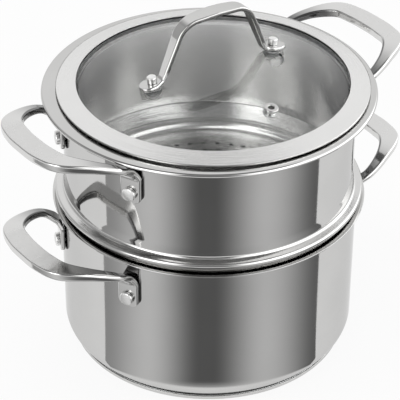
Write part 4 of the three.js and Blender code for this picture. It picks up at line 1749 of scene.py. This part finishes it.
    def fasteners(self) -> None:
        """Turn the rivets, washers and eyelet and set them through the glass."""
        gap = self.seat_gap
        foot = 2 * gap + self.washer_thickness
        under = -self.glass_thickness - gap - self.washer_thickness
        rivet = Rivet(
            shank=self.rivet_shank, head=self.rivet_head, head_height=self.rivet_height, edge=self.rivet_edge,
            crown=self.rivet_crown, back=self.rivet_back, back_height=self.rivet_back_height,
            head_base=foot + self.strap_thickness + gap, back_base=under - 2 * gap)
        pin = rivet.build("lid_rivet_pattern")
        hole, rim = self.rivet_shank / 2 + self.hole_clearance, self.washer_diameter / 2
        ring = Bench.turn("lid_washer_pattern", [
            (hole, 0.0), (rim, 0.0), (rim, self.washer_thickness), (hole, self.washer_thickness),
        ], self.small_sides)
        Bench.round_edges(ring, self.washer_edge)
        for side in Side:
            name, place = side.name.lower(), self.foot_place(side)
            piece = Bench.copy(pin, f"lid_rivet_{name}_pin", place)
            self.set_down(piece, self.finishes.rivet, Slot.POLISHED, f"lid_rivet_{name}")
            for level, where in ((gap, "upper"), (under, "lower")):
                node = f"lid_washer_{where}_{name}"
                piece = Bench.copy(ring, f"{node}_ring", place @ Matrix.Translation((0, 0, level)))
                self.set_down(piece, self.finishes.washer, Slot.SILICONE, node)
        Bench.discard(pin)
        Bench.discard(ring)
        bore, shank, flange = self.vent_bore / 2, self.vent_shank / 2, self.vent_flange / 2
        below = -self.glass_thickness - gap
        eyelet = Bench.turn("lid_vent_pattern", [
            (bore, below - self.vent_height), (flange, below - self.vent_height), (flange, below), (shank, below),
            (shank, gap), (flange, gap), (flange, gap + self.vent_height), (bore, gap + self.vent_height),
        ], self.small_sides)
        Bench.round_edges(eyelet, self.vent_edge, 4)
        piece = Bench.copy(eyelet, "lid_vent_eyelet_ring", self.vent_place())
        self.set_down(piece, self.finishes.eyelet, Slot.POLISHED, "lid_vent_eyelet")
        Bench.discard(eyelet)


def even_steps(path: Sequence[Vector], step: float) -> list[tuple[Vector, Vector]]:
    """Walk along a path in even steps.

    Args:
        path: The points of the path.
        step: Length of a step.

    Returns:
        The place and direction at each step.
    """
    lengths = [0.0]
    for a, b in zip(path, path[1:]):
        lengths.append(lengths[-1] + (b - a).length)
    count = math.ceil(lengths[-1] / step)

    def at(length: float) -> Vector:
        """Find the point at a length along the path.

        Args:
            length: The length.

        Returns:
            The point.
        """
        span = max(i for i in range(len(path) - 1) if lengths[i] <= length)
        share = (length - lengths[span]) / max(lengths[span + 1] - lengths[span], MERGE_DISTANCE)
        return path[span].lerp(path[span + 1], min(share, 1.0))

    walk = []
    for i in range(count + 1):
        length = lengths[-1] * i / count
        ahead, behind = at(min(length + step / 2, lengths[-1])), at(max(length - step / 2, 0.0))
        walk.append((at(length), (ahead - behind).normalized()))
    return walk


def strap_section(centre: Vector, along: Vector, half: float, thick: float, edge: float = 1.2,
                  ease: float = 0.3) -> list[Vector]:
    """Outline of the lid handle's strap across its direction.

    Args:
        centre: Middle of the strap in the XZ plane.
        along: Direction of the strap in the XZ plane.
        half: Half its width.
        thick: Half its thickness.
        edge: Largest radius of its edges.
        ease: Largest distance from a rounding at which a flat face gets a point of its own.

    Returns:
        The points of the outline.
    """
    up = Vector((along.y, 0.0, -along.x))
    middle = Vector((centre.x, 0.0, centre.y))
    radius = min(edge, thick * 0.75, half * 0.5)
    near = min(ease, thick * 0.2, half * 0.2)
    outline = bar_outline((half, thick), radius, radius, near, 3)
    return [middle + Vector((0.0, x, 0.0)) + up * y for x, y in outline]


@dataclass
class Studio:
    """White floor, soft light, cards that the steel reflects, and the camera.

    Places and lengths are in metres, angles in degrees. Shades say where across a card, as a share of its
    width, and how bright it is there.
    """

    eye: tuple[float, float, float] = (-0.6126, -0.8242, 0.7785)
    azimuth: float = -36.3
    pitch: float = 33.535
    roll: float = 0.316
    lens: float = 161.4
    sensor: float = 36.0
    view_end: float = 50.0
    fill: float = 0.8
    floor_size: float = 12.0
    floor_drop: float = 0.0003
    floor_tone: float = 0.9
    floor_glow: float = 0.9
    lamp_size: float = 0.9
    lamp_power: float = 4.0
    lamp_place: tuple[float, float, float] = (-0.35, 0.1, 1.5)
    lamp_aim: tuple[float, float, float] = (0.0, 0.0, 0.1)
    card_parts: int = 96
    card_radius: float = 0.1008
    card_left: float = -44.2
    card_right: float = 47.6
    card_near: float = 0.01
    card_fade: float = 0.015
    card_fade_loss: float = 0.7
    card_far: float = 0.42
    card_lift: float = 0.0003
    front_radius: float = 1.2
    front_reach: float = 150.0
    front_low: float = 0.25
    front_middle: float = 1.1
    front_high: float = 2.3
    ceiling_radius: float = 1.25
    back_reach: float = 60.0
    floor_shades: Shades = ((0.0, 0.38), (0.22, 0.72), (0.45, 0.125), (0.5, 0.125), (0.73, 0.68), (1.0, 0.16))
    front_shades: Shades = (
        (0.0, 1.0), (0.117, 0.5), (0.285, 0.4), (0.345, 3.4), (0.39, 3.0), (0.455, 0.2),
        (0.545, 0.2), (0.61, 2.2), (0.66, 2.8), (0.773, 2.2), (0.883, 2.8), (1.0, 1.0))
    high_shades: Shades = (
        (0.0, 1.0), (0.117, 0.3), (0.315, 0.25), (0.365, 2.4), (0.39, 2.2), (0.455, 0.35),
        (0.545, 0.35), (0.61, 1.5), (0.66, 2.0), (1.0, 1.0))
    ceiling_shades: Shades = ((0.0, 0.25), (1.0, 0.25))
    back_shades: Shades = ((0.0, 1.0), (0.3, 0.5), (0.7, 0.5), (1.0, 1.0))

    @property
    def facing(self) -> float:
        """Bearing of the camera from the object, in radians."""
        return math.radians(self.azimuth - 90.0)

    def build(self) -> None:
        """Set up the studio."""
        scene = bpy.context.scene
        scene.view_settings.view_transform = "Standard"
        self.world(scene)
        self.floor()
        self.cards()
        self.lamp(scene)
        self.camera(scene)

    @staticmethod
    def seen(links: Links) -> bpy.types.NodeSocket:
        """Add the mask of rays that show the background.

        Args:
            links: The links of the tree.

        Returns:
            1 for camera, glossy and transmission rays.
        """
        path = links.add("LightPath")
        both = links.math("MAXIMUM", path.outputs["Is Camera Ray"], path.outputs["Is Glossy Ray"])
        return links.math("MAXIMUM", both, path.outputs["Is Transmission Ray"])

    def world(self, scene: bpy.types.Scene) -> None:
        """Light the scene evenly and show white behind it.

        Args:
            scene: The scene.
        """
        world = bpy.data.worlds.new("studio_white")
        world.use_nodes = True
        scene.world = world
        links = Links(world.node_tree)
        out = links.add("OutputWorld")
        white = links.add("Background")
        white.inputs["Color"].default_value = (1, 1, 1, 1)
        links.join(links.range(self.seen(links), self.fill, 1.0), white.inputs["Strength"])
        links.join(white.outputs[0], out.inputs["Surface"])

    def floor(self) -> None:
        """Lay a plain white floor that keeps a faint shadow."""
        bpy.ops.object.select_all(action="DESELECT")
        bpy.ops.mesh.primitive_plane_add(size=self.floor_size, location=(0, 0, -self.floor_drop))
        floor = bpy.context.active_object
        floor.name = "studio_floor"
        made = bpy.data.materials.new("white_floor")
        made.use_nodes = True
        links = Links(made.node_tree)
        out = links.add("OutputMaterial")
        paper = links.add("BsdfDiffuse")
        paper.inputs["Color"].default_value = (self.floor_tone, self.floor_tone, self.floor_tone, 1)
        glow = links.add("Emission")
        glow.inputs["Strength"].default_value = 1.0
        mix = links.add("MixShader")
        links.join(links.math("MULTIPLY", self.seen(links), self.floor_glow), mix.inputs[0])
        links.join(paper.outputs[0], mix.inputs[1])
        links.join(glow.outputs[0], mix.inputs[2])
        links.join(mix.outputs[0], out.inputs["Surface"])
        floor.data.materials.append(made)

    def on_floor(self, across: float, out: float) -> Vector:
        """Place a point of the card that lies before the pot.

        Args:
            across: Share of the card's width.
            out: Share of its depth; its near half fades out.

        Returns:
            The place of the point.
        """
        turn = math.radians(self.card_left + (self.card_right - self.card_left) * across)
        ends = (2 * across - 1) ** 2
        near = self.card_near * (1 - ends)
        full = near + self.card_fade * (1 - self.card_fade_loss * ends)
        reach = near + (full - near) * 2 * out if out < 0.5 else full + (self.card_far - full) * (2 * out - 1)
        start, onward = self.facing + turn, self.facing + 2 * turn
        return Vector((self.card_radius * math.cos(start) + reach * math.cos(onward),
                       self.card_radius * math.sin(start) + reach * math.sin(onward), self.card_lift))

    def overhead(self, across: float, out: float) -> Vector:
        """Place a point of the round card over the object.

        Args:
            across: Share of a full turn.
            out: Share of its radius.

        Returns:
            The place of the point.
        """
        turn, reach = math.tau * across, self.ceiling_radius * out
        return Vector((reach * math.cos(turn), reach * math.sin(turn), self.front_high))

    def upright(self, middle: float, reach: float, low: float, high: float) -> Place:
        """Lay out a card that stands round the object.

        Args:
            middle: Bearing of its middle, in radians.
            reach: How far it goes either way.
            low: Level of its lower edge.
            high: Level of its upper edge.

        Returns:
            What places a point of it.
        """
        def place(across: float, up: float) -> Vector:
            """Place a point of the card.

            Args:
                across: Share of the card's width.
                up: Share of its height.

            Returns:
                The place of the point.
            """
            turn = middle + math.radians(reach * (2 * across - 1))
            return Vector((self.front_radius * math.cos(turn), self.front_radius * math.sin(turn),
                           low + (high - low) * up))

        return place

    def cards(self) -> None:
        """Set up the cards that only the steel and the glass reflect."""
        low, middle, high = self.front_low, self.front_middle, self.front_high
        front = self.upright(self.facing, self.front_reach, low, middle)
        above = self.upright(self.facing, self.front_reach, middle, high)
        behind = self.upright(self.facing + math.pi, self.back_reach, low, high)
        floor = self.card("floor_card", self.on_floor, self.floor_shades, faded=True)
        floor.visible_transmission = False
        self.card("front_card", front, self.front_shades)
        self.card("high_card", above, self.high_shades)
        self.card("ceiling_card", self.overhead, self.ceiling_shades)
        back = self.card("back_card", behind, self.back_shades)
        back.visible_glossy = False

    def card(self, name: str, place: Place, shades: Shades, faded: bool = False) -> bpy.types.Object:
        """Make one card.

        Args:
            name: Name of the card.
            place: Gives the place of a point from its shares of the card's width and depth.
            shades: Where across the card, and how bright it is there.
            faded: Whether the near half of its depth fades out.

        Returns:
            The card.
        """
        bpy.ops.object.select_all(action="DESELECT")
        bpy.ops.mesh.primitive_grid_add(x_subdivisions=self.card_parts, y_subdivisions=2, size=1.0)
        card = bpy.context.active_object
        card.name = name
        for vert in card.data.vertices:
            vert.co = place(vert.co.x + 0.5, vert.co.y + 0.5)
        made = bpy.data.materials.new(name)
        made.use_nodes = True
        links = Links(made.node_tree)
        out = links.add("OutputMaterial")
        glow = links.add("Emission")
        where = links.add("TexCoord")
        split = links.add("SeparateXYZ")
        links.join(where.outputs["UV"], split.inputs[0])
        ramp = links.add("ValToRGB")
        ramp.color_ramp.interpolation = "EASE"
        stops = ramp.color_ramp.elements
        for across, shade in shades[1:-1]:
            stops.new(across).color = (shade, shade, shade, 1)
        for element, (across, shade) in zip((stops[0], stops[-1]), (shades[0], shades[-1])):
            element.position = across
            element.color = (shade, shade, shade, 1)
        links.join(split.outputs["X"], ramp.inputs[0])
        links.join(ramp.outputs[0], glow.inputs["Color"])
        surface = glow
        if faded:
            surface = links.add("MixShader")
            links.join(links.ease(split.outputs["Y"], 0.0, 0.5), surface.inputs[0])
            links.join(links.add("BsdfTransparent").outputs[0], surface.inputs[1])
            links.join(glow.outputs[0], surface.inputs[2])
        links.join(surface.outputs[0], out.inputs["Surface"])
        card.data.materials.append(made)
        card.visible_camera = False
        card.visible_diffuse = False
        card.visible_shadow = False
        return card

    def lamp(self, scene: bpy.types.Scene) -> None:
        """Hang a large soft lamp above the object.

        Args:
            scene: The scene.
        """
        data = bpy.data.lights.new("overhead_softbox", "AREA")
        data.shape = "DISK"
        data.size = self.lamp_size
        data.energy = self.lamp_power
        lamp = bpy.data.objects.new("overhead_softbox", data)
        lamp.location = self.lamp_place
        lamp.rotation_euler = (Vector(self.lamp_aim) - lamp.location).to_track_quat("-Z", "Y").to_euler()
        lamp.visible_glossy = False
        scene.collection.objects.link(lamp)

    def camera(self, scene: bpy.types.Scene) -> None:
        """Set the camera at the photograph's viewpoint.

        Args:
            scene: The scene.
        """
        data = bpy.data.cameras.new("view_camera")
        data.lens = self.lens
        data.sensor_width = self.sensor
        data.clip_end = self.view_end
        camera = bpy.data.objects.new("view_camera", data)
        roll = Matrix.Rotation(math.radians(self.roll), 4, "Z")
        tilt = Matrix.Rotation(math.radians(90.0 - self.pitch), 4, "X")
        turn = Matrix.Rotation(math.radians(self.azimuth), 4, "Z")
        camera.matrix_world = Matrix.Translation(self.eye) @ turn @ tilt @ roll
        scene.collection.objects.link(camera)
        scene.camera = camera


def main() -> None:
    """Build the object piece by piece, then the studio."""
    logging.basicConfig(level=logging.INFO, format="%(message)s")
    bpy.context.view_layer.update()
    bearing = math.radians(LID_SHIFT_BEARING)
    lid_centre = (LID_SHIFT * math.cos(bearing), LID_SHIFT * math.sin(bearing))
    finishes = Finishes(lid_centre)
    pot = Pot(finishes)
    steamer = Steamer(finishes, pot)
    lid = Lid(finishes, steamer, lid_centre)
    for part in (pot, steamer, lid):
        part.build()
    Studio().build()


if __name__ == "__main__":
    main()
